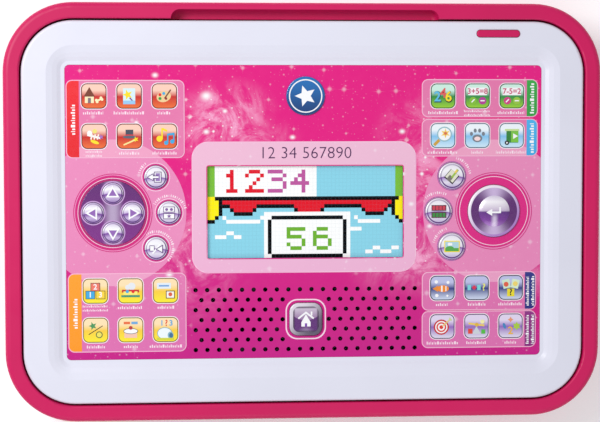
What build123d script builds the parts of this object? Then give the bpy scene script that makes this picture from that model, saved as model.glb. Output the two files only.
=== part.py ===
from build123d import *
import os
from math import cos, radians, sin

# Child's learning tablet that turns into a small laptop. Millimetres, +Z up, +Y away from the child.
# The tablet lies face up in a shallow tray. A stand panel hinged at the back of the tray lifts the
# tablet by its middle, and two glide shoes at its near edge run back along rails beside a keyboard.
# Origin: centre of the footprint, at the undersides of the feet.

# ---------------------------------------------------------------- tray (base)
base_width = 320.0
base_depth = 223.0
base_corner_radius = 37.0
base_wall = 2.5
rim_width = 8.6            # top face of the tray's rim, from outside to the cavity
rim_drop = 0.2             # rim below the tablet's ridge
rim_outer_fillet = 3.2
rim_inner_fillet = 0.9
base_bottom_z = 1.5        # underside of the tray, above the table
base_bottom_fillet = 8.0
case_split_z = 12.0        # seam between upper and lower case
seam_bevel = 0.4
deck_thickness = 2.5
tray_gap = 1.0             # all round, between the rim and the tablet
fit_gap = 0.1              # between pieces that only have to slip together

# finger recess in the far rim
recess_length = 143.0
recess_reach = 4.9         # from the cavity wall into the rim
recess_depth = 8.5
recess_floor_fillet = 3.0

# rubber feet
foot_radius = 7.0
foot_seat_depth = 0.5      # how far a foot is let into the case
foot_offset_x = 35.0       # from the tray's side to the foot's centre
foot_offset_y = 31.0

# screws, all self-tapping
screw_shaft_radius = 1.15
screw_pilot_radius = 1.2
screw_head_radius = 2.8
screw_head_height = 1.8
screw_slot_length = 3.2
screw_slot_width = 0.76
screw_hole_radius = 1.6
screw_boss_radius = 3.6
screw_post_radius = 4.6
screw_bite = 5.0           # how far a screw goes into its boss
base_boss_bottom_z = 7.0
base_screw_side_inset = 20.5    # from the tray's side
base_screw_ys = (-70.0, 20.0, 84.0)

# ---------------------------------------------------------------- keyboard
key_columns = 13
key_rows = 5
key_pitch_x = 18.4
key_pitch_y = 17.2
key_spacing = 3.2          # gap between neighbouring key caps
key_corner_radius = 2.8
key_proud = 1.5            # caps above the keyboard plate
key_dish = 0.35
space_bar_columns = 5
keyboard_margin = 3.0      # plate beyond the outer keys
keyboard_front_gap = 2.6   # from the cavity's near wall to the plate
keyboard_plate_proud = 0.5
keyboard_plate_thickness = 2.0
keyboard_ledge = 3.0       # what the plate rests on
key_hole_gap = 0.4
key_mat_thickness = 1.2
keyboard_board_thickness = 1.6
board_post_radius = 3.0

# ---------------------------------------------------------------- battery bay
cell_radius = 7.25
cell_length = 50.5
cell_nub_radius = 2.7
cell_nub_length = 1.2
cell_count = 4
cell_spacing = 0.7         # between neighbouring cells
bay_center_y = 50.0
bay_wall = 2.0
bay_side_gap = 0.7
bay_spring_room = 7.2
bay_plate_room = 1.0
bay_top_gap = 0.2          # over the cells, and again under the deck
spring_wire_radius = 0.4
spring_radius = 3.6
spring_turns = 4
spring_bite = 0.08          # coil's end sunk into its contact plate
contact_width = 9.0
contact_height = 9.0
contact_thickness = 0.4
door_lip = 3.0             # the door's overlap on its ledge
door_thickness = 1.9
door_ledge_thickness = 0.5
door_gap = 0.25
door_screw_reach = 8.0     # from the bay's far wall to the door's far edge
door_tab_width = 9.0
door_tab_reach = 2.2
door_tab_thickness = 1.0
door_rib_count = 7
door_rib_pitch = 4.2
door_rib_depth = 0.4
door_rib_width = 1.4

# ---------------------------------------------------------------- linkage
pivot_height = 6.5         # stand's hinge and glide shoes above the deck
stand_back_gap = 4.6       # from the cavity's far wall to the stand's lower hinge
glide_edge_gap = 6.0       # from the tablet's near edge to the glide shoes
open_angle = 65.0          # tilt of the tablet, and swing of the stand
stand_half_width = 112.0
stand_thickness = 4.0
stand_knuckle_radius = 3.2
stand_side_gap = 0.5
stand_pocket_margin = 14.0
stand_pocket_depth = 1.4
hinge_pin_radius = 1.5
hinge_pin_slack = 0.05
hinge_ear_width = 5.0
hinge_ear_radius = 3.4
hinge_pin_depth = 9.0      # into the stand
glide_radius = 3.0
glide_length = 7.7
glide_slack = 0.1
glide_pin_radius = 1.4
glide_pin_length = 3.5
rail_inner_x = 133.2
rail_width = 4.2
rail_wall_gap = 0.4
rail_stop_height = 1.6
rail_stop_length = 4.0

# ---------------------------------------------------------------- tablet
tablet_lift = 4.5          # tablet's underside above the pivots
rear_case_height = 4.0
front_case_height = 7.1    # to the top of the outer edge
ridge_rise = 0.6           # soft ridge between the edge band and the dish
tablet_edge_fillet = 1.6
tablet_bottom_fillet = 2.0
tablet_wall = 2.0
ridge_inset = 13.1         # from the tablet's edge
bezel_width_x = 22.7       # from the tablet's edge to the overlay
bezel_width_y = 23.4
overlay_corner_radius = 2.5
dish_depth = 2.6           # overlay below the ridge
overlay_thickness = 0.6
membrane_thickness = 0.4
front_plate_thickness = 1.8
dish_steps = ((2.0, 0.12), (4.0, 1.1), (6.4, 1.9))    # (out from the overlay, rise)
belly_half_width = 128.0
belly_depth = 8.0
belly_corner_radius = 8.0
belly_fillet = 2.5
belly_front_lap = 2.0      # belly in front of the glide shoes
belly_stand_gap = 8.0      # from the stand's upper hinge to the belly
tablet_screw_side_inset = 12.4
tablet_screw_far_inset = 9.9
tablet_screw_side_ys = (-75.0, 45.0)
tablet_screw_far_x = 60.0

# touch panel layout, from the panel's centre
touch_size = 13.5
touch_corner_radius = 3.0
touch_emboss = 0.2
touch_left_xs = (-112.3, -93.7, -75.1)
touch_right_xs = (74.1, 92.8, 111.5)
touch_top_ys = (62.0, 40.7)
touch_bottom_ys = (-41.6, -62.5)

# screen
screen_width = 105.2
screen_depth = 49.4
screen_corner_radius = 0.8
lens_lap = 2.6             # lens beyond the window
lens_thickness = 0.8
lcd_thickness = 2.75
lcd_lap = 1.8
backlight_thickness = 0.6
ribbon_width = 30.0
ribbon_thickness = 0.15
ribbon_reach = 3.0

# speaker and its grille
grille_columns = 20
grille_rows = 7
grille_pitch_x = 6.22
grille_pitch_y = 5.37
grille_hole_radius = 1.2
grille_key_gap = 1.7       # clear width between the home key's hole and the nearest grille hole
speaker_x = -32.5
speaker_radius = 18.0
speaker_flange = 1.5
speaker_magnet_radius = 9.0
speaker_magnet_height = 5.0
speaker_basket_height = 5.5
speaker_cone_radius = 15.5

# moving keys on the tablet
key_travel = 1.0
key_proud_height = 1.3     # caps above the overlay
key_clearance = 0.25
key_flange = 0.8
key_flange_thickness = 0.8
key_flange_gap = 0.05
dome_radius = 2.4
dome_top_radius = 1.68
dome_socket_depth = 1.2
dome_socket_gap = 0.2
mat_sheet_thickness = 0.25
mat_margin = 2.0
key_edge_fillet = 0.7
arrow_pad_x = -102.7
arrow_pad_radius = 17.0
arrow_pad_proud = 0.5
arrow_offset = 10.4
arrow_key_radius = 5.6
left_round_radius = 6.1
left_round_keys = {"exit_key": (-79.9, 19.0), "players_key": (-73.0, 0.0), "sound_key": (-79.9, -19.0)}
right_round_radius = 7.1
right_round_keys = {"notepad_key": (79.0, 19.0), "word_key": (71.8, 0.0), "picture_key": (79.0, -19.0)}
enter_x = 101.9
enter_radius = 14.1
enter_crown_radius = 8.6
enter_crown_height = 0.5
home_y = -57.7
home_size = 17.6
home_corner_radius = 4.8
power_x = 103.6
power_edge_gap = 6.6       # from the tablet's far edge to the key's centre line
power_length = 23.3
power_width = 3.8
power_proud = 0.6
power_travel = 0.7
power_board_size = (30.0, 9.0)
tact_size = 6.0
badge_y = 62.0
badge_radius = 10.4
badge_height = 0.8
badge_fillet = 0.5

# electronics
board_thickness = 1.6
board_half_width = 122.0
board_near_y = -30.0
board_far_y = 60.0
board_tongue_half_width = 12.0
board_tongue_end_y = -70.0
chip_height = 1.0
chips = ((-40.0, -18.0, 14.0, 14.0), (10.0, -20.0, 18.0, 9.0), (48.0, -18.0, 8.0, 12.0))    # x, y, size
cable_width = 12.0
cable_thickness = 0.5
cable_x = 100.0

# ---------------------------------------------------------------- worked out from the above
cavity_width = base_width - 2 * rim_width
cavity_depth = base_depth - 2 * rim_width
cavity_radius = base_corner_radius - rim_width
tablet_width = cavity_width - 2 * tray_gap
tablet_depth = cavity_depth - 2 * tray_gap
tablet_radius = cavity_radius - tray_gap
base_floor_z = base_bottom_z + base_wall
cell_pitch = 2 * cell_radius + cell_spacing
cell_z = base_floor_z + fit_gap + cell_radius
bay_top_z = cell_z + cell_radius + bay_top_gap
deck_bottom_z = bay_top_z + bay_top_gap
deck_top_z = deck_bottom_z + deck_thickness
pivot_z = deck_top_z + pivot_height
tablet_bottom_z = pivot_z + tablet_lift
tablet_split_z = tablet_bottom_z + rear_case_height
tablet_edge_z = tablet_split_z + front_case_height
tablet_ridge_z = tablet_edge_z + ridge_rise
rim_top_z = tablet_ridge_z - rim_drop
overlay_top_z = tablet_ridge_z - dish_depth

overlay_width = tablet_width - 2 * bezel_width_x
overlay_depth = tablet_depth - 2 * bezel_width_y
overlay_bottom_z = overlay_top_z - overlay_thickness
membrane_bottom_z = overlay_bottom_z - membrane_thickness
plate_bottom_z = membrane_bottom_z - front_plate_thickness
key_flange_top_z = plate_bottom_z - key_flange_gap
key_bottom_z = key_flange_top_z - key_flange_thickness
board_top_z = key_bottom_z - key_travel - mat_sheet_thickness - fit_gap
mat_top_z = board_top_z + mat_sheet_thickness
board_bottom_z = board_top_z - board_thickness

hinge_y = cavity_depth / 2 - stand_back_gap
glide_y = -tablet_depth / 2 + glide_edge_gap
arm_length = (hinge_y - glide_y) / 2
middle_y = hinge_y - arm_length
glide_travel = 2 * arm_length * (1 - cos(radians(open_angle)))
belly_bottom_z = tablet_bottom_z - belly_depth
belly_near_y = glide_y - belly_front_lap
belly_far_y = middle_y - belly_stand_gap

keyboard_width = key_columns * key_pitch_x + 2 * keyboard_margin
keyboard_depth = key_rows * key_pitch_y + 2 * keyboard_margin
keyboard_y = -cavity_depth / 2 + keyboard_front_gap + keyboard_depth / 2
keyboard_plate_top_z = deck_top_z + keyboard_plate_proud
keyboard_plate_bottom_z = keyboard_plate_top_z - keyboard_plate_thickness
key_mat_bottom_z = keyboard_plate_bottom_z - key_mat_thickness
keyboard_board_bottom_z = key_mat_bottom_z - keyboard_board_thickness

bay_width = cell_count * cell_pitch + 2 * bay_side_gap
bay_length = cell_length + bay_spring_room + bay_plate_room
power_y = tablet_depth / 2 - power_edge_gap


def slab(width, depth, radius, low, high, x=0.0, y=0.0):
    """Plate with rounded corners, from z = low to z = high."""
    return extrude(Pos(x, y, low) * RectangleRounded(width, depth, radius), high - low)


def block(width, depth, low, high, x=0.0, y=0.0):
    """Plain box standing on z = low."""
    return Pos(x, y, (low + high) / 2) * Box(width, depth, high - low)


def disc(radius, low, high, x=0.0, y=0.0):
    """Upright cylinder from z = low to z = high."""
    return Pos(x, y, (low + high) / 2) * Cylinder(radius, high - low)


def bar(radius, start_x, end_x, y, z):
    """Cylinder along X."""
    return Pos((start_x + end_x) / 2, y, z) * Rot(0, 90, 0) * Cylinder(radius, abs(end_x - start_x))


def joined(shapes):
    """All the shapes as one, fused at once."""
    first, *rest = shapes
    return first + rest if rest else first


def top_edges(shape):
    return shape.edges().group_by(Axis.Z)[-1]


def bottom_edges(shape):
    return shape.edges().group_by(Axis.Z)[0]


def frustum(low_size, low_radius, low_z, high_size, high_radius, high_z):
    """Straight-sided solid between two rounded rectangles."""
    low = Pos(0, 0, low_z) * RectangleRounded(*low_size, low_radius)
    high = Pos(0, 0, high_z) * RectangleRounded(*high_size, high_radius)
    return loft([low.face(), high.face()], ruled=True)


# ---------------------------------------------------------------- the tray
def base_screw_places():
    x = base_width / 2 - base_screw_side_inset
    return [(side * x, y) for side in (-1, 1) for y in base_screw_ys]


def rim_recess():
    """Scoop that a finger reaches into to lift the tablet's far edge."""
    low = rim_top_z - recess_depth
    scoop = slab(recess_length, 2 * recess_reach, recess_reach - fit_gap, low, rim_top_z + 1)
    scoop = fillet(bottom_edges(scoop), recess_floor_fillet)
    return Pos(0, cavity_depth / 2, 0) * scoop


def hinge_ears(side, y, low, high):
    """Ear beside the stand, with the hole for a hinge pin; low and high are the ends of its web."""
    inner = side * (stand_half_width + stand_side_gap)
    outer = inner + side * hinge_ear_width
    ear = bar(hinge_ear_radius, inner, outer, y, pivot_z)
    web = block(hinge_ear_width, 2 * hinge_ear_radius, low, high, (inner + outer) / 2, y)
    hole = bar(hinge_pin_radius + hinge_pin_slack / 2, inner - side, outer + side, y, pivot_z)
    return ear + web - hole


def base_upper_case():
    """Rim, cavity walls and deck in one moulding."""
    case = slab(base_width, base_depth, base_corner_radius, case_split_z, rim_top_z)
    case = fillet(top_edges(case), rim_outer_fillet)
    case = chamfer(bottom_edges(case), seam_bevel)
    case -= slab(cavity_width, cavity_depth, cavity_radius, deck_top_z, rim_top_z + 1)
    lip = case.edges().filter_by_position(Axis.Z, rim_top_z - fit_gap, rim_top_z + fit_gap)
    inside = [e for e in lip if abs(e.center().X) < cavity_width / 2 + fit_gap
              and abs(e.center().Y) < cavity_depth / 2 + fit_gap]
    case = fillet(inside, rim_inner_fillet)
    inner_size = (base_width - 2 * base_wall, base_depth - 2 * base_wall, base_corner_radius - base_wall)
    case -= slab(*inner_size, case_split_z - 1, deck_bottom_z)
    channel = slab(*inner_size, deck_bottom_z - 1, rim_top_z - base_wall)
    channel -= slab(cavity_width + 2 * base_wall, cavity_depth + 2 * base_wall,
                    cavity_radius + base_wall, deck_bottom_z - 2, rim_top_z)
    channel -= block(recess_length + 4 * base_wall, base_depth / 2, 0, rim_top_z, 0, base_depth / 2)
    case -= channel
    case -= rim_recess()
    case -= slab(keyboard_width + 2 * fit_gap, keyboard_depth + 2 * fit_gap, key_corner_radius,
                 keyboard_plate_bottom_z, deck_top_z + 1, 0, keyboard_y)
    case -= block(keyboard_width - 2 * keyboard_ledge, keyboard_depth - 2 * keyboard_ledge,
                  0, deck_top_z, 0, keyboard_y)
    for side in (-1, 1):
        case += hinge_ears(side, hinge_y, deck_top_z - fit_gap, pivot_z)
    for x, y in base_screw_places():
        case += disc(screw_boss_radius, base_boss_bottom_z, deck_bottom_z + fit_gap, x, y)
        case -= disc(screw_pilot_radius, base_boss_bottom_z - 1, base_boss_bottom_z + screw_bite + 1, x, y)
    return case


def bay_far_y():
    return bay_center_y + bay_length / 2


def door_outline(gap):
    """(width, depth, centre y) of the battery door, or of its seat where gap is the slack."""
    near = bay_center_y - bay_length / 2 - door_lip
    far = bay_far_y() + door_screw_reach
    return bay_width + 2 * door_lip + 2 * gap, far - near + 2 * gap, (near + far) / 2


def door_screw_y():
    return bay_far_y() + bay_wall + screw_boss_radius / 2


def keyboard_board_posts():
    x = keyboard_width / 2 - keyboard_ledge - 2 * board_post_radius
    y = keyboard_depth / 2 - keyboard_ledge - 2 * board_post_radius
    return [(sx * x, keyboard_y + sy * y) for sx in (-1, 0, 1) for sy in (-1, 1)]


def foot_places():
    x = base_width / 2 - foot_offset_x
    y = base_depth / 2 - foot_offset_y
    return {"front_left_foot": (-x, -y), "front_right_foot": (x, -y),
            "rear_left_foot": (-x, y), "rear_right_foot": (x, y)}


def base_lower_case():
    """Bottom pan with the battery bay, the posts for the screws and the seats for the feet."""
    case = slab(base_width, base_depth, base_corner_radius, base_bottom_z, case_split_z)
    case = fillet(bottom_edges(case), base_bottom_fillet)
    case = chamfer(top_edges(case), seam_bevel)
    inner = slab(base_width - 2 * base_wall, base_depth - 2 * base_wall,
                 base_corner_radius - base_wall, base_floor_z, case_split_z + 1)
    case -= fillet(bottom_edges(inner), base_bottom_fillet - base_wall)
    case += block(bay_width + 2 * bay_wall, bay_length + 2 * bay_wall, base_bottom_z, bay_top_z, 0,
                  bay_center_y)
    case += disc(screw_boss_radius, base_floor_z - fit_gap, case_split_z, 0, door_screw_y())
    door_width, door_depth, door_y = door_outline(door_gap)
    seat_top = base_bottom_z + door_thickness + fit_gap
    case -= block(door_width, door_depth, 0, seat_top, 0, door_y)
    case -= block(bay_width, bay_length, 0, bay_top_z + 1, 0, bay_center_y)
    case -= disc(screw_pilot_radius, 0, case_split_z - 1, 0, door_screw_y())
    for x in door_tab_xs():
        room = door_tab_width + 2 * door_gap
        wall_y = bay_center_y - bay_length / 2 - bay_wall / 2
        case -= block(room, bay_wall + 2 * fit_gap, base_floor_z, base_floor_z + 2 * door_tab_thickness,
                      x, wall_y)
    for x, y in base_screw_places():
        case += disc(screw_post_radius, base_bottom_z, base_boss_bottom_z - fit_gap, x, y)
        case -= disc(screw_hole_radius, 0, base_boss_bottom_z, x, y)
        case -= disc(screw_head_radius + key_clearance, 0, base_floor_z, x, y)
    for x, y in keyboard_board_posts():
        case += disc(board_post_radius, base_floor_z - fit_gap, keyboard_board_bottom_z, x, y)
    for x, y in foot_places().values():
        case -= disc(foot_radius + fit_gap, 0, base_bottom_z + foot_seat_depth, x, y)
    return case


def screw(head_bottom_z, tip_z, x, y):
    """Self-tapping screw driven up from below, with a cross recess in its head."""
    head_top = head_bottom_z + screw_head_height
    made = fillet(bottom_edges(disc(screw_head_radius, head_bottom_z, head_top, x, y)),
                  screw_head_height / 3)
    made += disc(screw_shaft_radius, head_top - fit_gap, tip_z, x, y)
    for width, depth in ((screw_slot_length, screw_slot_width), (screw_slot_width, screw_slot_length)):
        made -= block(width, depth, 0, head_bottom_z + screw_head_height / 2, x, y)
    return made


def base_screws():
    seat = base_floor_z - screw_head_height
    tip = base_boss_bottom_z + screw_bite
    return Compound([screw(seat, tip, x, y) for x, y in base_screw_places()])


def rubber_foot(x, y):
    foot = disc(foot_radius, 0, base_bottom_z + foot_seat_depth, x, y)
    return fillet(bottom_edges(foot), foot_seat_depth)


def door_tab_xs():
    x = bay_width / 4
    return (-x, x)


def battery_door():
    """Ribbed cover with two hooked tabs at its near edge and a screw hole at its far edge."""
    width, depth, y = door_outline(0.0)
    top = base_bottom_z + door_thickness
    door = slab(width, depth, key_corner_radius / 2, base_bottom_z, top, 0, y)
    near = bay_center_y - bay_length / 2
    for x in door_tab_xs():
        riser = 2 * door_tab_thickness
        hook_low = base_floor_z + fit_gap
        door += block(door_tab_width, riser, top - fit_gap, hook_low + door_tab_thickness, x,
                      near + riser / 2 + fit_gap)
        door += block(door_tab_width, door_tab_reach + riser, hook_low, hook_low + door_tab_thickness,
                      x, near + (riser - door_tab_reach) / 2)
    door -= disc(screw_hole_radius, 0, top + 1, 0, door_screw_y())
    door -= disc(screw_head_radius + key_clearance, 0, base_bottom_z + door_thickness / 2, 0, door_screw_y())
    for i in range(door_rib_count):
        rib_y = bay_center_y + (i - (door_rib_count - 1) / 2) * door_rib_pitch
        door -= block(bay_width / 2, door_rib_width, 0, base_bottom_z + door_rib_depth, 0, rib_y)
    return door


def battery_door_screw():
    head_low = base_bottom_z + door_thickness / 2 - screw_head_height
    return screw(head_low, case_split_z - screw_bite / 2, 0, door_screw_y())


def cell_x(index):
    return (index - (cell_count - 1) / 2) * cell_pitch


def cell_direction(index):
    """Which way the cell's positive end points; neighbours lie head to tail."""
    return 1 if index % 2 else -1


def cell_y(index):
    shift = (bay_spring_room - bay_plate_room) / 2
    return bay_center_y + cell_direction(index) * shift


def battery_cell(index):
    body_length = cell_length - cell_nub_length
    turn = Rot(-90 * cell_direction(index), 0, 0)
    body = Pos(0, 0, -cell_nub_length / 2) * Cylinder(cell_radius, body_length)
    body = fillet(body.edges().filter_by(GeomType.CIRCLE), key_edge_fillet)
    nub = Pos(0, 0, cell_length / 2 - cell_nub_length) * Cylinder(cell_nub_radius, 2 * cell_nub_length)
    return Pos(cell_x(index), cell_y(index), cell_z) * turn * (body + nub)


def battery_springs():
    """One coil spring for the flat end of each cell, on its own contact plate."""
    springs = []
    for index in range(cell_count):
        away = -cell_direction(index)
        wall_y = bay_center_y + away * bay_length / 2
        plate_y = wall_y - away * (contact_thickness / 2 + fit_gap)
        plate = Pos(cell_x(index), plate_y, cell_z) * Box(contact_width, contact_thickness, contact_height)
        height = bay_spring_room - 2 * contact_thickness - 4 * spring_wire_radius
        path = Helix(height / spring_turns, height, spring_radius)
        coil = sweep(Plane(origin=path @ 0, z_dir=path % 0) * Circle(spring_wire_radius), path,
                     is_frenet=True)
        turn = Rot(90 * away, 0, 0)
        coil_y = plate_y - away * (contact_thickness / 2 + spring_wire_radius - spring_bite)
        springs.append(plate + Pos(cell_x(index), coil_y, cell_z) * turn * coil)
    return Compound(springs)


def battery_contacts():
    """Flat contact for the positive end of each cell."""
    plates = []
    for index in range(cell_count):
        away = cell_direction(index)
        plate_y = bay_center_y + away * (bay_length / 2 - contact_thickness / 2 - fit_gap)
        plate = Pos(cell_x(index), plate_y, cell_z) * Box(contact_width, contact_thickness, contact_height)
        plates.append(plate)
    return Compound(plates)


# ---------------------------------------------------------------- keyboard
def key_cells():
    """(x, y, width) of each key. The near row has a long space bar in the middle."""
    left = -(key_columns - 1) / 2 * key_pitch_x
    near = keyboard_y - (key_rows - 1) / 2 * key_pitch_y
    cap = key_pitch_x - key_spacing
    side_keys = (key_columns - space_bar_columns) // 2
    cells = []
    for row in range(key_rows):
        for column in range(key_columns):
            in_bar = side_keys <= column < key_columns - side_keys
            if row or not in_bar:
                cells.append((left + column * key_pitch_x, near + row * key_pitch_y, cap))
    bar_keys = key_columns - 2 * side_keys
    cells.append((0.0, near, bar_keys * key_pitch_x - key_spacing))
    return cells


def keyboard_plate():
    plate = slab(keyboard_width, keyboard_depth, key_corner_radius,
                 keyboard_plate_bottom_z, keyboard_plate_top_z, 0, keyboard_y)
    plate = chamfer(top_edges(plate), keyboard_plate_proud / 2)
    cap_depth = key_pitch_y - key_spacing
    holes = [slab(width + 2 * key_hole_gap, cap_depth + 2 * key_hole_gap, key_corner_radius,
                  keyboard_plate_bottom_z - 1, keyboard_plate_top_z + 1, x, y)
             for x, y, width in key_cells()]
    return plate - holes


def keyboard_keys():
    """Silicone mat with every key cap moulded on it, each with a shallow dish."""
    cap_depth = key_pitch_y - key_spacing
    top = keyboard_plate_top_z + key_proud
    size = 2 * (keyboard_ledge + fit_gap)
    sheet = block(keyboard_width - size, keyboard_depth - size, key_mat_bottom_z, keyboard_plate_bottom_z,
                  0, keyboard_y)
    caps = []
    for x, y, width in key_cells():
        cap = slab(width, cap_depth, key_corner_radius, keyboard_plate_bottom_z - fit_gap, top, x, y)
        cap = fillet(top_edges(cap), key_edge_fillet)
        cap -= slab(width - key_spacing, cap_depth - key_spacing, key_corner_radius - key_spacing / 4,
                    top - key_dish, top + 1, x, y)
        caps.append(cap)
    return joined([sheet, *caps])


def keyboard_board():
    size = 2 * (keyboard_ledge + fit_gap)
    return block(keyboard_width - size, keyboard_depth - size, keyboard_board_bottom_z, key_mat_bottom_z,
                 0, keyboard_y)


def base_ribbon_cable():
    """Flat cable from the keyboard board to the stand's hinge, taped under the deck."""
    start = keyboard_y + keyboard_depth / 2 - keyboard_ledge - fit_gap
    end = hinge_y - hinge_ear_radius
    top = keyboard_board_bottom_z + keyboard_board_thickness / 2
    return block(cable_width, end - start, top - cable_thickness, top, cable_x, (start + end) / 2)


def glide_rail(side):
    """Strip that a glide shoe runs along, with a raised stop at its far end."""
    start = -cavity_depth / 2
    end = glide_y + glide_travel + glide_radius + glide_slack
    top = pivot_z - glide_radius - glide_slack
    x = side * (rail_inner_x + rail_width / 2)
    rail = block(rail_width, end + rail_stop_length - start, deck_top_z, top, x,
                 (start + end + rail_stop_length) / 2)
    rail += block(rail_width, rail_stop_length, top - fit_gap, top + rail_stop_height, x,
                  end + rail_stop_length / 2)
    room = slab(cavity_width - 2 * rail_wall_gap, cavity_depth - 2 * rail_wall_gap,
                cavity_radius - rail_wall_gap, deck_top_z, rim_top_z)
    return rail & room


# ---------------------------------------------------------------- the stand
def hinge_pin(side, y):
    """Steel pin through an ear and into the stand."""
    inner = side * (stand_half_width - hinge_pin_depth)
    outer = side * (stand_half_width + stand_side_gap + hinge_ear_width)
    return bar(hinge_pin_radius, inner, outer, y, pivot_z)


def stand_panel():
    """Flat panel with a hinge barrel along each end, and a shallow pocket in its outer face."""
    low, high = pivot_z - stand_thickness / 2, pivot_z + stand_thickness / 2
    center_y = (hinge_y + middle_y) / 2
    panel = block(2 * stand_half_width, arm_length, low, high, 0, center_y)
    for y in (hinge_y, middle_y):
        panel += bar(stand_knuckle_radius, -stand_half_width, stand_half_width, y, pivot_z)
        for side in (-1, 1):
            hole_end = side * (stand_half_width - hinge_pin_depth - stand_side_gap)
            panel -= bar(hinge_pin_radius + hinge_pin_slack, side * (stand_half_width + 1), hole_end, y,
                         pivot_z)
    pocket = (2 * (stand_half_width - stand_pocket_margin), arm_length - 2 * stand_pocket_margin)
    panel -= slab(*pocket, belly_corner_radius, low - 1, low + stand_pocket_depth, 0, center_y)
    return panel


# ---------------------------------------------------------------- the tablet's cases
def tablet_screw_places():
    side_x = tablet_width / 2 - tablet_screw_side_inset
    far_y = tablet_depth / 2 - tablet_screw_far_inset
    sides = [(side * side_x, y) for side in (-1, 1) for y in tablet_screw_side_ys]
    return sides + [(side * tablet_screw_far_x, far_y) for side in (-1, 1)]


def arrow_places():
    return {"up_key": (arrow_pad_x, arrow_offset), "down_key": (arrow_pad_x, -arrow_offset),
            "left_key": (arrow_pad_x - arrow_offset, 0.0), "right_key": (arrow_pad_x + arrow_offset, 0.0)}


def round_keys():
    """name: (x, y, cap radius) of every round key on the tablet."""
    keys = {name: (x, y, arrow_key_radius) for name, (x, y) in arrow_places().items()}
    keys.update({name: (x, y, left_round_radius) for name, (x, y) in left_round_keys.items()})
    keys.update({name: (x, y, right_round_radius) for name, (x, y) in right_round_keys.items()})
    keys["enter_key"] = (enter_x, 0.0, enter_radius)
    return keys


def grille_places():
    """Staggered rows of holes, left out around the home key."""
    keep_out = home_size / 2 + key_clearance + grille_key_gap
    places = []
    for row in range(grille_rows):
        y = home_y + (row - (grille_rows - 1) / 2) * grille_pitch_y
        count = grille_columns - row % 2
        for column in range(count):
            x = (column - (count - 1) / 2) * grille_pitch_x
            near_x = abs(x) < keep_out + grille_hole_radius
            near_y = abs(y - home_y) < keep_out + grille_hole_radius
            if not (near_x and near_y):
                places.append((x, y))
    return places


def panel_holes(low, high, gap):
    """Tools for every hole that the overlay, the membrane and the front plate have in common."""
    tools = [disc(radius + gap, low, high, x, y) for x, y, radius in round_keys().values()]
    size = home_size + 2 * gap
    tools.append(slab(size, size, home_corner_radius + gap, low, high, 0, home_y))
    tools += [disc(grille_hole_radius + gap - key_clearance, low, high, x, y) for x, y in grille_places()]
    return tools


def ridge_frame():
    return (tablet_width - 2 * ridge_inset, tablet_depth - 2 * ridge_inset), tablet_radius - ridge_inset


def dish():
    """The hollow from the ridge down to the overlay, as a stack of sloped steps."""
    stack = [((overlay_width, overlay_depth), overlay_corner_radius, overlay_top_z)]
    for out, rise in dish_steps:
        size = (overlay_width + 2 * out, overlay_depth + 2 * out)
        stack.append((size, overlay_corner_radius + out, overlay_top_z + rise))
    stack.append((*ridge_frame(), tablet_ridge_z))
    return joined([frustum(*low, *high) for low, high in zip(stack, stack[1:])])


def tablet_front_case():
    """White face with a crowned edge band, a ridge and a dish down to the touch panel."""
    case = slab(tablet_width, tablet_depth, tablet_radius, tablet_split_z, tablet_edge_z)
    case = fillet(top_edges(case), tablet_edge_fillet)
    crown_size = (tablet_width - 2 * tablet_edge_fillet, tablet_depth - 2 * tablet_edge_fillet)
    case += frustum(crown_size, tablet_radius - tablet_edge_fillet, tablet_edge_z, *ridge_frame(),
                    tablet_ridge_z)
    case -= dish()
    case -= slab(overlay_width, overlay_depth, overlay_corner_radius, membrane_bottom_z, rim_top_z)
    inside = (tablet_width - 2 * tablet_wall, tablet_depth - 2 * tablet_wall)
    case -= slab(*inside, tablet_radius - tablet_wall, tablet_split_z - 1, plate_bottom_z)
    pocket = slab(*inside, tablet_radius - tablet_wall, plate_bottom_z - 1, tablet_edge_z - tablet_wall)
    pocket -= slab(overlay_width + 2 * tablet_wall, overlay_depth + 2 * tablet_wall,
                   overlay_corner_radius + tablet_wall, plate_bottom_z - 2, rim_top_z)
    pocket -= slab(power_length + 4 * tablet_wall, power_width + 4 * tablet_wall, tablet_wall,
                   plate_bottom_z - 2, rim_top_z, power_x, power_y)
    case -= pocket
    lens_size = (screen_width + 2 * lens_lap + 2 * fit_gap, screen_depth + 2 * lens_lap + 2 * fit_gap)
    case -= block(*lens_size, 0, rim_top_z)
    case -= panel_holes(0, rim_top_z, key_clearance)
    case -= slab(power_length + 2 * key_clearance, power_width + 2 * key_clearance,
                 power_width / 2 + key_clearance - fit_gap, 0, rim_top_z + 1, power_x, power_y)
    for x, y in tablet_screw_places():
        case += disc(screw_boss_radius, tablet_split_z, tablet_edge_z - tablet_wall + fit_gap, x, y)
        case -= disc(screw_pilot_radius, 0, tablet_split_z + screw_bite, x, y)
    return case


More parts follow.
